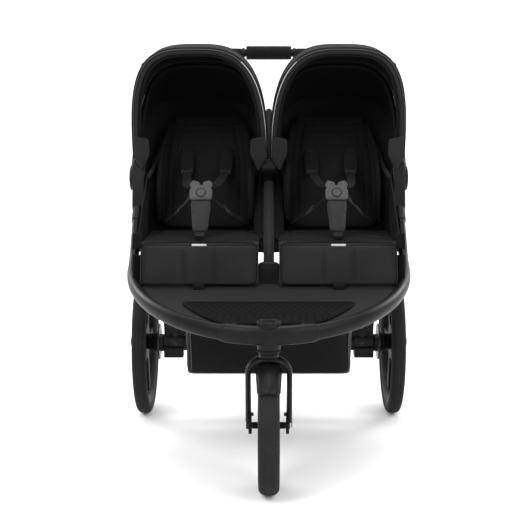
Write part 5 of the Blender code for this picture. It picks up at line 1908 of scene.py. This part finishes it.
def build_crotch_pad(side, name):
    """The stuffed crotch pad on its strap, with its slider and the buckle."""
    foot, up, out = lean_frame(side)

    def place(a, b, c):
        return foot + np.array((a, 0, 0)) + up * b + out * c

    outline = rounded(
        [(-0.0180, -0.0075), (0.0180, -0.0075), (0.0254, 0.0735), (-0.0254, 0.0735)], 0.007, 6
    )
    slab = cushion_mesh(outline, 0.0095, place, 0.001)
    pad = joined(f"crotch_cushion_{name}", [slab], PAD, None, [f"crotch_pad_{name}"])
    puffed(pad, 0.004, 4.0, 0.0035)

    def depth_at(points):
        rel = points - foot
        across, along = rel[:, 0], rel @ up
        edge = 0.0152 + 0.0068 * np.clip(along / 0.0735, 0, 1)
        return channel(np.abs(across) - edge, 0.0016, 0.0014) * ease(along, 0.0, 0.008)

    sewn(pad, depth_at)
    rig.ride(pad, "chassis")
    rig.padded(pad, 0.7)
    tail = [place(0, -0.0270, 0.0), place(0, -0.015, 0.0), place(0, 0.0, 0.0), place(0, 0.055, 0.0)]
    strap(f"crotch_strap_{name}", tail, 0.018, "chassis", out)
    slider = rounded(
        [(-0.0115, -0.0225), (0.0115, -0.0225), (0.0115, -0.0115), (-0.0115, -0.0115)], 0.0025, 5
    )
    part = solid_between(slider, place, -0.0030, 0.0042)
    block(f"crotch_slider_{name}", part, (0.0012, 3), SOFT_PLASTIC, "chassis")
    build_buckle(side, name, place)


def build_buckle(side, name, place):
    """The buckle's body, face, ring, push button and two tongues."""
    base = 0.0750
    half_shape = [(0.0262, base), (0.0275, base + 0.028), (0.016, base + 0.040)]
    shape = rounded(half_shape + [(-a, b) for a, b in half_shape[::-1]], 0.007, 8)
    part = solid_between(shape, place, -0.008, 0.0068)
    block(f"buckle_body_{name}", part, (0.0030, 4), BUCKLE, "chassis", [f"buckle_{name}"])
    half_face = [(0.0215, base + 0.004), (0.0232, base + 0.026), (0.0140, base + 0.0355)]
    face = rounded(half_face + [(-a, b) for a, b in half_face[::-1]], 0.006, 8)
    part = solid_between(face, place, 0.0060, 0.0076)
    block(f"buckle_face_{name}", part, (0.0007, 2), BUCKLE, "chassis")
    _, _, out = lean_frame(side)
    centre = place(0, base + 0.018, 0.0)
    ring = [(0.0102, 0.0062), (0.0105, 0.0084), (0.0118, 0.0086), (0.0124, 0.0080), (0.0128, 0.0062)]
    lathe(f"buckle_ring_{name}", ring, centre, out, SOFT_PLASTIC, "chassis", 44, True)
    button = [
        (0, 0.0090), (0.004, 0.0091), (0.0085, 0.0098), (0.0098, 0.0090), (0.0098, 0.0060), (0, 0.0060)
    ]
    lathe(
        f"button_cap_{name}", button, centre, out, BUCKLE, f"buckle_button_{name}", 44,
        replaces=[f"buckle_button_{name}"]
    )
    for sign, label in ((-1, "a"), (1, "b")):
        corners = ((0.003, 0.037), (0.022, 0.030), (0.028, 0.042), (0.020, 0.054), (0.004, 0.049))
        tongue = rounded([(sign * a, base + b) for a, b in corners], 0.004, 5)
        part = solid_between(tongue, place, -0.0032, 0.0030)
        block(f"tongue_{name}_{label}", part, (0.0012, 3), BUCKLE, "chassis")


def build_harness(side, name):
    """Shoulder straps from the backrest's slots to the tongues, and the waist straps."""
    foot, up, out = lean_frame(side)

    def at_buckle(across, along, lift):
        return foot + np.array((across, 0, 0)) + up * along + out * lift

    facing = BACKREST_OUT
    start = (float(side * SEAT_X), -0.040, 0.655)
    end = (float(side * SEAT_X), 0.105, 0.672)
    for sign, label in ((-1, "a"), (1, "b")):
        run = (
            (0.0515, 0.226, 0.010), (0.0520, 0.216, 0.0215), (0.0510, 0.190, 0.0265), (0.0495, 0.150, 0.036)
        )
        upper = [backrest_place(side, sign * a, b, c) for a, b, c in run]
        upper += [at_buckle(sign * 0.036, 0.137, -0.030), at_buckle(sign * 0.018, 0.121, 0.0)]
        tape = strap(f"shoulder_tape_{name}_{label}", upper, 0.022, None, facing)
        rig.blend(tape, "chassis", f"backrest_{name}", start, end)
        sleeve_path = smooth_path(upper[1:4], 40)
        shade = [0.80 + 0.20 * float(ease(min(i, 39 - i), 0, 5)) for i in range(40)]
        # The pads take the backrest's darker cloth: painted shade under the hood.
        sleeve = sweep(
            f"shoulder_pad_{name}_{label}", sleeve_path, oval(0.036, 0.0085, 24, 3.2), SEAT_BACK, None,
            facing, scale=shade, replaces=[f"shoulder_straps_{name}"]
        )
        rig.padded(sleeve, 0.6)
        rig.blend(sleeve, "chassis", f"backrest_{name}", start, end)
        glide = backrest_place(side, sign * 0.0500, 0.148, 0.0385)
        bend = (f"backrest_{name}", start, end)
        along = unit(upper[2] - upper[3])
        adjuster(f"shoulder_adjuster_{name}_{label}", glide, along, facing, 0.029, 0.014, None, bend)
        hip = [at_buckle(sign * 0.018, 0.100, -0.001), at_buckle(sign * 0.034, 0.082, -0.012)]
        for across, y, z in ((0.062, -0.020, 0.582), (0.088, 0.040, 0.562), (0.103, 0.078, 0.549)):
            hip.append(np.array((side * SEAT_X + sign * across, y, z)))
        strap(f"waist_tape_{name}_{label}", hip, 0.020, "chassis", (sign * 0.6, -0.5, 0.6))
        spot, along = hip[2] + np.array((0, -0.0018, 0.001)), unit(hip[2] - hip[1])
        adjuster(
            f"waist_adjuster_{name}_{label}", spot, along, (sign * 0.5, -0.6, 0.6), 0.024, 0.036, "chassis"
        )
        slot = rounded(oblong((sign * 0.052, 0.2245), 0.0125, 0.0065), 0.004, 6)
        part = solid_between(slot, partial(backrest_place, side), 0.0150, 0.0192)
        block(f"strap_slot_{name}_{label}", part, (0.0012, 3), SOFT_PLASTIC, f"backrest_{name}")


def adjuster(name, centre, along, facing, width, length, body, bend=None):
    """A three-bar slider: a rounded frame with its two slots."""
    along = unit(along)
    facing = unit(np.asarray(facing, float) - np.dot(facing, along) * along)
    across = np.cross(along, facing)
    matrix = Matrix((*zip(across, along, facing, centre), (0, 0, 0, 1)))
    a, b = width / 2, length / 2
    outline = rounded(oblong((0.0, 0.0), a, b), 0.004, 5)
    slots = []
    for low, high in ((-b + 0.0035, -0.0016), (0.0016, b - 0.0035)):
        slots.append(
            rounded(
                [(-a + 0.0035, low), (a - 0.0035, low), (a - 0.0035, high), (-a + 0.0035, high)], 0.0010, 3
            )
        )
    item = flat_shape(name, [outline, *slots], 0.0036, matrix, 0.0010, SLIDER, body)
    if bend:
        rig.blend(item, "chassis", bend[0], bend[1], bend[2])
    return item


# Canopies
def canopy_point(side, turn, share, shrink):
    """On a hood's skin: turn about the hub from +Y towards +Z, share across from its +X hub."""
    half_width, radius = CANOPY_HALF_WIDTH - shrink, CANOPY_RADIUS - shrink
    powers = (CANOPY_OUTER_POWER, CANOPY_INNER_POWER)[::side]
    first, last = (math.asin((0.024 / radius) ** (power / 2)) for power in powers)
    across = first + (math.pi - last - first) * share
    power = powers[0] if across < math.pi / 2 else powers[1]
    reach = radius * math.sin(across) ** (2 / power)
    x = math.copysign(half_width * abs(math.cos(across)) ** (2 / power), math.cos(across))
    angle = math.radians(turn)
    y, z = CANOPY_PIVOT[1] + reach * math.cos(angle), CANOPY_PIVOT[2] + reach * math.sin(angle)
    return np.array((side * CANOPY_X + x, y, z))


def even_shares(side, shrink, count):
    """Shares that space points evenly along the hood's arch."""
    fine = np.linspace(0, 1, 800)
    points = np.array([canopy_point(side, 90, s, shrink) for s in fine])
    run = run_of(points)
    return np.interp(np.linspace(0, run[-1], count), run, fine)


HOOD_REAR, HOOD_FRONT = 38.0, 110.0
SHELLS = (
    ("rear", "chassis", HOOD_REAR, 62.0, 0.008),
    ("middle", "canopy_middle", 62.0, 86.0, 0.004),
    ("front", "canopy_front", 86.0, HOOD_FRONT, 0.0),
)


def build_canopy(side, name):
    """One hood: three nested shells, each with its bow, seam and bound back edge."""
    for label, carrier, first, edge, shrink in SHELLS:
        last = edge if label == "front" else edge + 2.6
        body = carrier if carrier == "chassis" else f"{carrier}_{name}"
        shares = even_shares(side, shrink, 96)
        centre = at(CANOPY_PIVOT, side * CANOPY_X)

        def skin(row, column):
            turn = first + (last - first) * row
            share = shares[int(round(column * 95))]
            sag = 0.0042 * math.sin(math.pi * row) * math.sin(math.pi * column) ** 0.7
            wave = 0.0011 * ripple((row * 0.25, column, side), 7.0, shrink * 900) * math.sin(math.pi * row)
            return canopy_point(side, turn, share, shrink + 0.0006 + sag + wave)

        sheet = cloth_sheet(
            f"hood_{label}_{name}", skin, 26, 96, 0.0018, CANOPY, body, [f"canopy_{label}_{name}"], -1.0
        )
        arch = polyline_length([skin(1, s) for s in np.linspace(0, 1, 96)])
        depth = math.radians(last - first) * (CANOPY_RADIUS - shrink)
        area = mesh_area(sheet)
        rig.sheet(
            sheet, flat=(arch, depth), held="stretched", rests_on=[f"hood_bow_{label}_{name}"],
            area=min(area, arch * depth)
        )
        bow(f"hood_bow_{label}_{name}", side, last - 1.2, shrink + 0.0085, 0.0105, LINING, body)
        seam_path = [
            canopy_point(side, last - (0.4 if label == "front" else 1.4), s, shrink - 0.0004)
            for s in shares[2:-2]
        ]
        normal = [unit(p - centre) for p in seam_path]
        stitched_line(
            f"hood_seam_{label}_{name}", seam_path, normal, body, 0.0034, 0.0022, 0.00032, GREY_TAPE
        )
        back_edge = [canopy_point(side, first + 0.3, s, shrink + 0.0002) for s in shares]
        hints = np.array([unit(p - centre) for p in back_edge])
        sweep(f"hood_edge_{label}_{name}", back_edge, oval(0.0044, 0.0030, 12), LINING, body, hints)
    build_canopy_rim(side, name)
    build_hubs(side, name)


def polyline_length(points):
    """The length of a line through the points."""
    return float(np.linalg.norm(np.diff(np.asarray(points), axis=0), axis=1).sum())


def mesh_area(item):
    """The area of a mesh's faces."""
    return float(sum(face.area for face in item.data.polygons))


def bow(name, side, turn, shrink, width, material, body):
    """The sleeve that a hoop runs through, round the inside of the hood."""
    shares = even_shares(side, shrink, 90)[1:-1]
    centre = at(CANOPY_PIVOT, side * CANOPY_X)
    path = [canopy_point(side, turn, s, shrink) for s in shares]
    hints = np.array([unit(p - centre) for p in path])
    size = [1.0 + 0.05 * ripple(p, 60.0, 7.0) for p in path]
    return sweep(name, path, oval(width, 0.0085, 16), material, body, hints, scale=size)


def build_canopy_rim(side, name):
    """The front edge in layers: a dark binding, silver piping inside, the bow's band with a painted highlight, and a
    skirt.
    """
    body = f"canopy_front_{name}"
    shares = even_shares(side, 0.0, 120)
    centre = at(CANOPY_PIVOT, side * CANOPY_X)

    def ring(turn, shrink, low=0, high=120):
        path = np.array([canopy_point(side, turn, s, shrink) for s in shares[low:high]])
        return path, np.array([unit(p - centre) for p in path])

    path, hints = ring(HOOD_FRONT + 0.2, 0.0012)
    sweep(f"rim_binding_{name}", path, oval(0.0070, 0.0046, 14, 3), LINING, body, hints)
    inner_half = (0, 42) if side < 0 else (78, 120)
    outer_half = (41, 120) if side < 0 else (0, 79)
    path, hints = ring(HOOD_FRONT + 0.9, 0.0036, *inner_half)
    sweep(f"rim_piping_inner_{name}", path, oval(0.0021, 0.0021, 10), SILVER, body, hints)
    path, hints = ring(HOOD_FRONT + 0.9, 0.0036, *outer_half)
    sweep(f"rim_piping_outer_{name}", path, oval(0.0030, 0.0030, 10), GREY_TAPE, body, hints)
    path, hints = ring(HOOD_FRONT - 0.1, 0.0105)
    # The bow's band takes the lighter cloth: a painted highlight along the front bow's sleeve.
    sweep(f"rim_band_{name}", path, oval(0.0100, 0.0105, 18, 2.6), FLAP, body, hints)
    path, hints = ring(HOOD_FRONT - 0.6, 0.0195)
    size = [1.0 + 0.10 * ripple(p, 45.0, 3.0) for p in path]
    sweep(f"rim_skirt_{name}", path, oval(0.0030, 0.0080, 14, 3), CANOPY, body, hints, scale=size)
    build_side_flaps(side, name, body)


def build_side_flaps(side, name, body):
    """The pointed cloth ends that fill the hood's front corners beside the hubs, in a lighter cloth as painted light.
    """
    for sign, label in ((-1, "a"), (1, "b")):
        outline = [(0.1655, 0.082), (0.1275, 0.074), (0.1265, 0.034), (0.1460, -0.012), (0.1655, 0.020)]
        outline = rounded([(sign * a, b) for a, b in outline], 0.006, 6)
        turn = math.radians(HOOD_FRONT)

        def place(a, b, c):
            y = CANOPY_PIVOT[1] + math.cos(turn) * b - 0.012
            z = CANOPY_PIVOT[2] + math.sin(turn) * b
            return np.array((side * CANOPY_X + a, y - c - 0.014 * math.exp(-((b / 0.05) ** 2)), z))

        verts, faces = cushion_mesh(outline, 0.0032, place, 0.0012)
        # The flaps take a lighter copy of the canopy cloth: painted light on faces turned to the front and up.
        subdivided(piece(f"hood_flap_{name}_{label}", verts, faces, FLAP, body))


def build_hubs(side, name):
    """The pivots at both ends of the hoops."""
    for sign, label in ((-1, "a"), (1, "b")):
        x = side * CANOPY_X + sign * HUB_X
        centre = (x, CANOPY_PIVOT[1], CANOPY_PIVOT[2])
        profile = [
            (0, 0.0055), (0.010, 0.0052), (0.0165, 0.0036), (0.0185, 0.0010), (0.0185, -0.0045),
            (0, -0.0045)
        ]
        lathe(f"hood_hub_{name}_{label}", profile, centre, (-sign, 0, 0), SOFT_PLASTIC, "chassis", 40)
        screw_head(
            f"hood_hub_screw_{name}_{label}", (x - sign * 0.0058, *centre[1:]), (-sign, 0, 0), 0.005,
            "chassis"
        )
    build_hood_back(side, name)


def build_hood_back(side, name):
    """The cloth from the hood's rear hoop to the backrest's edge, which stretches as the seat reclines."""
    columns, degrees = 97, HOOD_REAR + 0.4
    turn = math.radians(degrees)
    shares = even_shares(side, 0.0105, columns)
    top = np.array([canopy_point(side, degrees, s, 0.0105) for s in shares])
    half = [(0.1205, 0.050), (0.1205, 0.200), (0.112, 0.255), (0.0985, 0.318), (0.078, 0.3385)]
    rim = even_polyline(half + [(-a, b) for a, b in half[::-1]], columns)
    low = np.array([backrest_place(side, a, b, -0.0125) for a, b in rim])
    middle = np.array((side * SEAT_X, 0.13, 0.74))

    def skin(row, column):
        index = int(round(column * (columns - 1)))
        share = row**1.25
        place = top[index] * (1 - share) + low[index] * share
        out = unit(place - middle)
        folds = 0.0022 * math.sin(column * 70.0) * math.sin(math.pi * row)
        return place + out * (0.010 * math.sin(math.pi * share) * math.sin(math.pi * column) + folds)

    sheet = cloth_sheet(f"hood_back_{name}", skin, 26, columns, 0.0016, LINING, None)
    area = mesh_area(sheet)
    width, drop = polyline_length(top), area / polyline_length(top) * 1.25
    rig.sheet(
        sheet, flat=(width, drop), held="stretched",
        rests_on=[f"hood_rear_{name}", f"backrest_cushion_{name}"], area=area
    )
    end = CANOPY_PIVOT + 0.012 * np.array((0, math.sin(turn), -math.cos(turn)))
    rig.blend(sheet, "chassis", f"backrest_{name}", plain(CANOPY_PIVOT), plain(end))


# Footrest and basket
FOOT_SLOPE = math.atan(HOOP_SLOPE)


def foot_place(x, reach, lift):
    """A point in the hoop's plane: across, forward of its centre along the slope, and above it."""
    y = HOOP_CENTRE_Y - reach * math.cos(FOOT_SLOPE) - lift * math.sin(FOOT_SLOPE)
    z = hoop_height(HOOP_CENTRE_Y) - reach * math.sin(FOOT_SLOPE) + lift * math.cos(FOOT_SLOPE)
    return np.array((x, y, z))


def build_footrest():
    """The cloth inside the hoop, its hems and stitches, and the lip at the nose."""
    stretch = math.cos(FOOT_SLOPE)
    width, length = 0.3175, 0.4335 / stretch  # inside the hoop's tube
    back, front = 0.130 / stretch, 0.925 * 0.4335 / stretch

    def panel(row, column):
        reach = back + (front - back) * row
        half = width * math.sqrt(max(0.0, 1 - (reach / length) ** 2))
        x = half * (2 * column - 1)
        sag = 0.0035 * math.sin(math.pi * row) * math.sin(math.pi * column)
        sag += 0.0012 * float(ease(0.160 / stretch - reach, 0.0, 0.030))
        return foot_place(x, reach, 0.0005 - sag + 0.0008 * ripple((x, reach, 0), 18.0))

    sheet = cloth_sheet("footrest_cloth", panel, 40, 90, 0.0022, FOOT_CLOTH, "chassis", ["footrest_panel"])
    area = mesh_area(sheet)
    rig.sheet(
        sheet, flat=(0.606, front - back + 0.004), held="stretched", rests_on=["frame_tube_left_skin"],
        area=min(area, 0.606 * (front - back))
    )
    for side, name in SIDES:
        edge = [panel(row, 0.5 + side * 0.5) for row in np.linspace(0, 1, 60)]
        sweep(f"footrest_hem_{name}", edge, oval(0.0085, 0.0052, 14, 3), SEAT_DARK, "chassis")
        path = [
            panel(row, 0.5 + side * 0.482) + np.array((0, -0.0003, 0.0018))
            for row in np.linspace(0.03, 0.97, 60)
        ]
        stitched_line(f"footrest_stitch_{name}", path, (0, -0.2, 1), "chassis")
    hem = [panel(0.0, c) for c in np.linspace(0, 1, 60)]
    sweep("footrest_rear_hem", hem, oval(0.0060, 0.0048, 14, 3), SEAT_DARK, "chassis")
    tip = [
        (width * math.sqrt(1 - (reach / length) ** 2), reach)
        for reach in np.linspace(front - 0.006, 0.998 * length, 18)
    ]
    outline = tip + [(-x, reach) for x, reach in tip[::-1]]
    joined("footrest_lip", [solid_between(outline, foot_place, -0.0045, -0.0012)], PLASTIC, "chassis")
    build_tread(width, length, front)


def build_tread(width, length, front):
    """The rubber mat on the footrest: a raised border and rows of round studs."""
    back = 0.62 * length

    def mat_half(reach):
        """The mat's half width at a given reach."""
        return 0.78 * width * math.sqrt(max(0.0, 1 - (reach / length) ** 2))

    outline = [(mat_half(reach), reach) for reach in np.linspace(back, front, 16)]
    outline = fillet(outline + [(-a, b) for a, b in outline[::-1]], 0.010)
    part = solid_between(outline, foot_place, 0.0028, 0.0064)
    block("footrest_mat", part, (0.0012, 2), TREAD_MAT, "chassis", ["footrest_tread"])
    rim = [foot_place(a * 0.965, back + (b - back) * 0.95 + 0.003, 0.0066) for a, b in outline]
    sweep("footrest_mat_rim", rim, oval(0.0034, 0.0026, 10), TREAD_MAT, "chassis", closed=True)
    studs, pitch = [], 0.0165
    stud = [(0, 0.0022), (0.0028, 0.0020), (0.0042, 0.0008), (0.0048, -0.0008), (0, -0.0008)]
    normal = foot_place(0, 0, 1) - foot_place(0, 0, 0)
    rows = int((front - back - 0.022) / pitch) + 1
    for row in range(rows):
        reach = back + 0.013 + pitch * row
        half = mat_half(reach) - 0.016
        count = int(2 * half / pitch)
        for step in range(count + 1):
            x = (step - count / 2) * pitch
            studs.append(lathe_mesh(stud, foot_place(x, reach, 0.0064), normal, 12))
    joined("footrest_mat_studs", studs, TREAD_MAT, "chassis")


BASKET_FRONT, BASKET_RUN = -0.200, 0.390


def basket_ring(share, height, count=128):
    """A ring round the basket's plan: share scales it about its middle, height runs floor to rim."""
    front_y, rear_y, corner = -0.198, 0.188, 0.016
    front_half, rear_half = 0.1920 + 0.0012 * height, 0.221 + 0.013 * height
    points = []
    corners = [(front_half, front_y), (rear_half, rear_y), (-rear_half, rear_y), (-front_half, front_y)]
    outline = np.array(fillet(rounded(corners, corner, 8), 0.0))
    closed = np.vstack([outline, outline[:1]])
    run = run_of(closed)
    for place in np.linspace(0, run[-1], count, endpoint=False):
        x, y = np.interp(place, run, closed[:, 0]), np.interp(place, run, closed[:, 1])
        points.append(
            (x * share, front_y + (rear_y - front_y) * 0.5 + (y - (front_y + rear_y) / 2) * share)
        )
    return points


def basket_place(y, height):
    """The basket's height above the floor, from its bottom at 0 to its rim at 1."""
    along = (y - BASKET_FRONT) / BASKET_RUN
    low = 0.2085 + 0.027 * along
    high = 0.343 + 0.020 * along
    return low + (high - low) * height


def build_basket():
    """The under-seat bag: one shell from floor to rim that sags between its hangers."""
    count, rings = 128, []
    for share in (0.02, 0.2, 0.4, 0.6, 0.78, 0.90, 0.965):
        flat = basket_ring(share, 0.0, count)
        sag = 0.0055 * (1 - share**2)
        rings.append(
            [
                np.array((x, y, basket_place(y, 0) + 0.0055 - sag + 0.0012 * ripple((x, y, 0), 22)))
                for x, y in flat
            ]
        )
    for height in (0.03, 0.08, 0.16, 0.28, 0.42, 0.56, 0.70, 0.84, 0.94, 1.0):
        scale = 1.0 - 0.022 * math.sin(math.pi * height) * 0.5
        scale *= 1 - 0.035 * (1 - min(1.0, height / 0.12)) ** 2
        flat = basket_ring(scale, height, count)
        ring = []
        for x, y in flat:
            dip = 0.006 * height**3 * (abs(x) > 0.16)
            dip *= 0.5 - 0.5 * math.cos(4 * math.pi * (y - BASKET_FRONT) / BASKET_RUN)
            dip += 0.005 * height**3 * (1 - (x / 0.24) ** 2) * (y > 0.15)
            pucker = 0.0016 * ripple((x, y, height * 0.1), 26, 5.0)
            ring.append(np.array((x * (1 + pucker * 4), y, basket_place(y, height) - dip)))
        rings.append(ring)
    verts = [p for ring in rings for p in ring]
    faces = [tuple(range(count))]
    for i in range(len(rings) - 1):
        for k in range(count):
            n = (k + 1) % count
            faces.append((i * count + k, i * count + n, (i + 1) * count + n, (i + 1) * count + k))
    bag = piece("basket_bag", verts, faces, BASKET, "chassis", ["basket"], 60)
    subdivided(bag)
    area = mesh_area(bag)
    thick(bag, 0.0026, -1.0)
    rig.sheet(
        bag, flat=(0.74, 0.66), held="hung", rests_on=["seat_front_bar", "seat_rear_bar"],
        area=min(area, 0.74 * 0.66)
    )
    rim = np.array(rings[-1])
    sweep("basket_rim", rim, oval(0.0075, 0.0085, 14, 3), SEAT_DARK, "chassis", closed=True)
    build_basket_trim(rings)


BASKET_CORNERS = {
    "front_right": (0.190, -0.197),
    "front_left": (-0.190, -0.197),
    "rear_right": (0.228, 0.182),
    "rear_left": (-0.228, 0.182),
}


def build_basket_trim(rings):
    """Piping down the corners, the seam round the floor and the hangers up to the frame."""
    walls = rings[8:]
    corner_of = {}
    for index, p in enumerate(walls[-1]):
        for key, target in BASKET_CORNERS.items():
            gap = math.dist(p[:2], target)
            if key not in corner_of or gap < corner_of[key][0]:
                corner_of[key] = (gap, index)
    for key, (_, index) in corner_of.items():
        path = smooth_path([ring[index] for ring in walls], 40)
        out = unit((path[20][0], path[20][1], 0))
        sweep(
            f"basket_piping_{key}", path + out * 0.0006, oval(0.0026, 0.0026, 10), GREY_TAPE, "chassis", out
        )
    sweep("basket_floor_piping", rings[7], oval(0.0040, 0.0040, 10), GREY_TAPE, "chassis", closed=True)
    seam = np.array(rings[-2])
    normals = [unit((p[0], p[1], 0)) for p in seam]
    stitched_line("basket_rim_stitch", seam + np.array(normals) * 0.0004, normals, "chassis")
    y = FRONT_BAR_Y
    hangers = (
        ("front", 0.176, -0.196, 0.338, (0.176, y - 0.008, hoop_height(y) - 0.006)),
        ("middle", 0.214, -0.010, 0.348, (0.236, -0.015, 0.484)),
        ("rear", 0.226, 0.183, 0.354, (0.226, -0.004, 0.482)),
    )
    for side, name in SIDES:
        for label, x, rim_y, z, top in hangers:
            low = np.array((side * x, rim_y, z))
            high = at(top, side * top[0])
            middle = low * 0.5 + high * 0.5 + np.array((side * 0.002, 0, -0.003))
            path = [low - np.array((0, 0, 0.022)), low, middle, high, high + np.array((0, 0, 0.004))]
            strap(f"basket_hanger_{label}_{name}", path, 0.020, "chassis", (1.0, 0, 0.1), 0.0015, 30)
            wider, rise = (0.0022, 0.004) if label == "front" else (0.0, 0.003)
            loop = ((0.0108, -0.010), (0.0136, -0.010), (0.0136, 0.010), (0.0108, 0.010))
            profile, centre = [(r + wider, h) for r, h in loop], high + np.array((0, 0, rise))
            lathe(f"basket_loop_{label}_{name}", profile, centre, X_AXIS, WEBBING, "chassis", 30, True)


# The object
def build_object():
    """Every piece, from the frame to the soft goods."""
    build_frame_tubes()
    build_nose()
    build_knob()
    build_hinges()
    build_crossbars()
    build_upper_rails()
    build_handlebar()
    build_centre_rail()
    build_rear_frame()
    build_fork()
    for side, name in SIDES:
        build_seat_pad(side, name)
        build_backrest(side, name)
        build_wings(side, name)
        build_gussets(side, name)
        build_crotch_pad(side, name)
        build_harness(side, name)
        build_canopy(side, name)
    build_footrest()
    build_basket()


# Studio
def build_studio():
    """Pale paper floor, soft lights and the camera."""
    mesh = bpy.data.meshes.new("studio_floor")
    radius, depth, rise, steps = 0.9, 2.6, 3.2, 14
    profile = [(-5.0, 0.0), (depth, 0.0)]
    for step in range(1, steps + 1):
        turn = math.pi / 2 * step / steps
        profile.append((depth + radius * math.sin(turn), radius - radius * math.cos(turn)))
    profile.append((depth + radius, rise))
    verts = [(x, y, z) for y, z in profile for x in (-6.0, 6.0)]
    faces = [(2 * i, 2 * i + 1, 2 * i + 3, 2 * i + 2) for i in range(len(profile) - 1)]
    mesh.from_pydata(verts, [], faces)
    mesh.shade_smooth()
    floor = bpy.data.objects.new("studio_floor", mesh)
    bpy.context.scene.collection.objects.link(floor)
    nodes = Nodes("studio_paper")
    grain = nodes.noise(3.0, 3.0)
    colour = nodes.ramp(grain, [(0.3, grey(0.86)), (0.7, grey(0.90))])
    roughness = nodes.ramp(grain, [(0.3, 0.86), (0.7, 0.94)])
    floor.data.materials.append(nodes.finish(colour, roughness))
    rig.stage(floor)
    lamp("key_light", (-1.6, -2.6, 2.6), (0, 0, 0.55), 2.2, 75.0)
    lamp("fill_light", (2.0, -2.4, 1.9), (0, 0, 0.55), 2.4, 50.0)
    lamp("top_light", (0.0, 0.2, 3.2), (0, 0.0, 0.5), 2.6, 75.0)
    lamp("rim_light_left", (-2.4, 1.6, 1.8), (0, 0, 0.6), 1.6, 40.0)
    lamp("rim_light_right", (2.4, 1.6, 1.8), (0, 0, 0.6), 1.6, 40.0)
    world = bpy.data.worlds.new("studio")
    world.use_nodes = True
    world.node_tree.nodes["Background"].inputs["Color"].default_value = (1.0, 1.0, 1.0, 1.0)
    world.node_tree.nodes["Background"].inputs["Strength"].default_value = 0.85
    bpy.context.scene.world = world
    bpy.context.scene.view_settings.view_transform = "Standard"
    camera = bpy.data.cameras.new("camera")
    camera.lens = 78.0
    camera.sensor_width = 36.0
    camera.shift_x = -0.012
    view = bpy.data.objects.new("camera", camera)
    view.location = (0.0, -2.822, 0.75)
    view.rotation_euler = (math.radians(84), 0.0, 0.0)
    bpy.context.scene.collection.objects.link(view)
    bpy.context.scene.camera = view


def lamp(name, place, target, size, power):
    """A round soft light aimed at a target."""
    light = bpy.data.lights.new(name, "AREA")
    light.shape = "DISK"
    light.size = size
    light.energy = power
    item = bpy.data.objects.new(name, light)
    item.location = place
    item.rotation_euler = (Vector(target) - Vector(place)).to_track_quat("-Z", "Y").to_euler()
    bpy.context.scene.collection.objects.link(item)


build_object()
build_studio()
with open("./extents.json", "w") as handle:
    plain = {
        key: [list(map(float, corner)) for corner in box]
        for key, box in (("cad", CAD_BOX), ("visual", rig.bounds()))
    }
    json.dump(plain, handle)
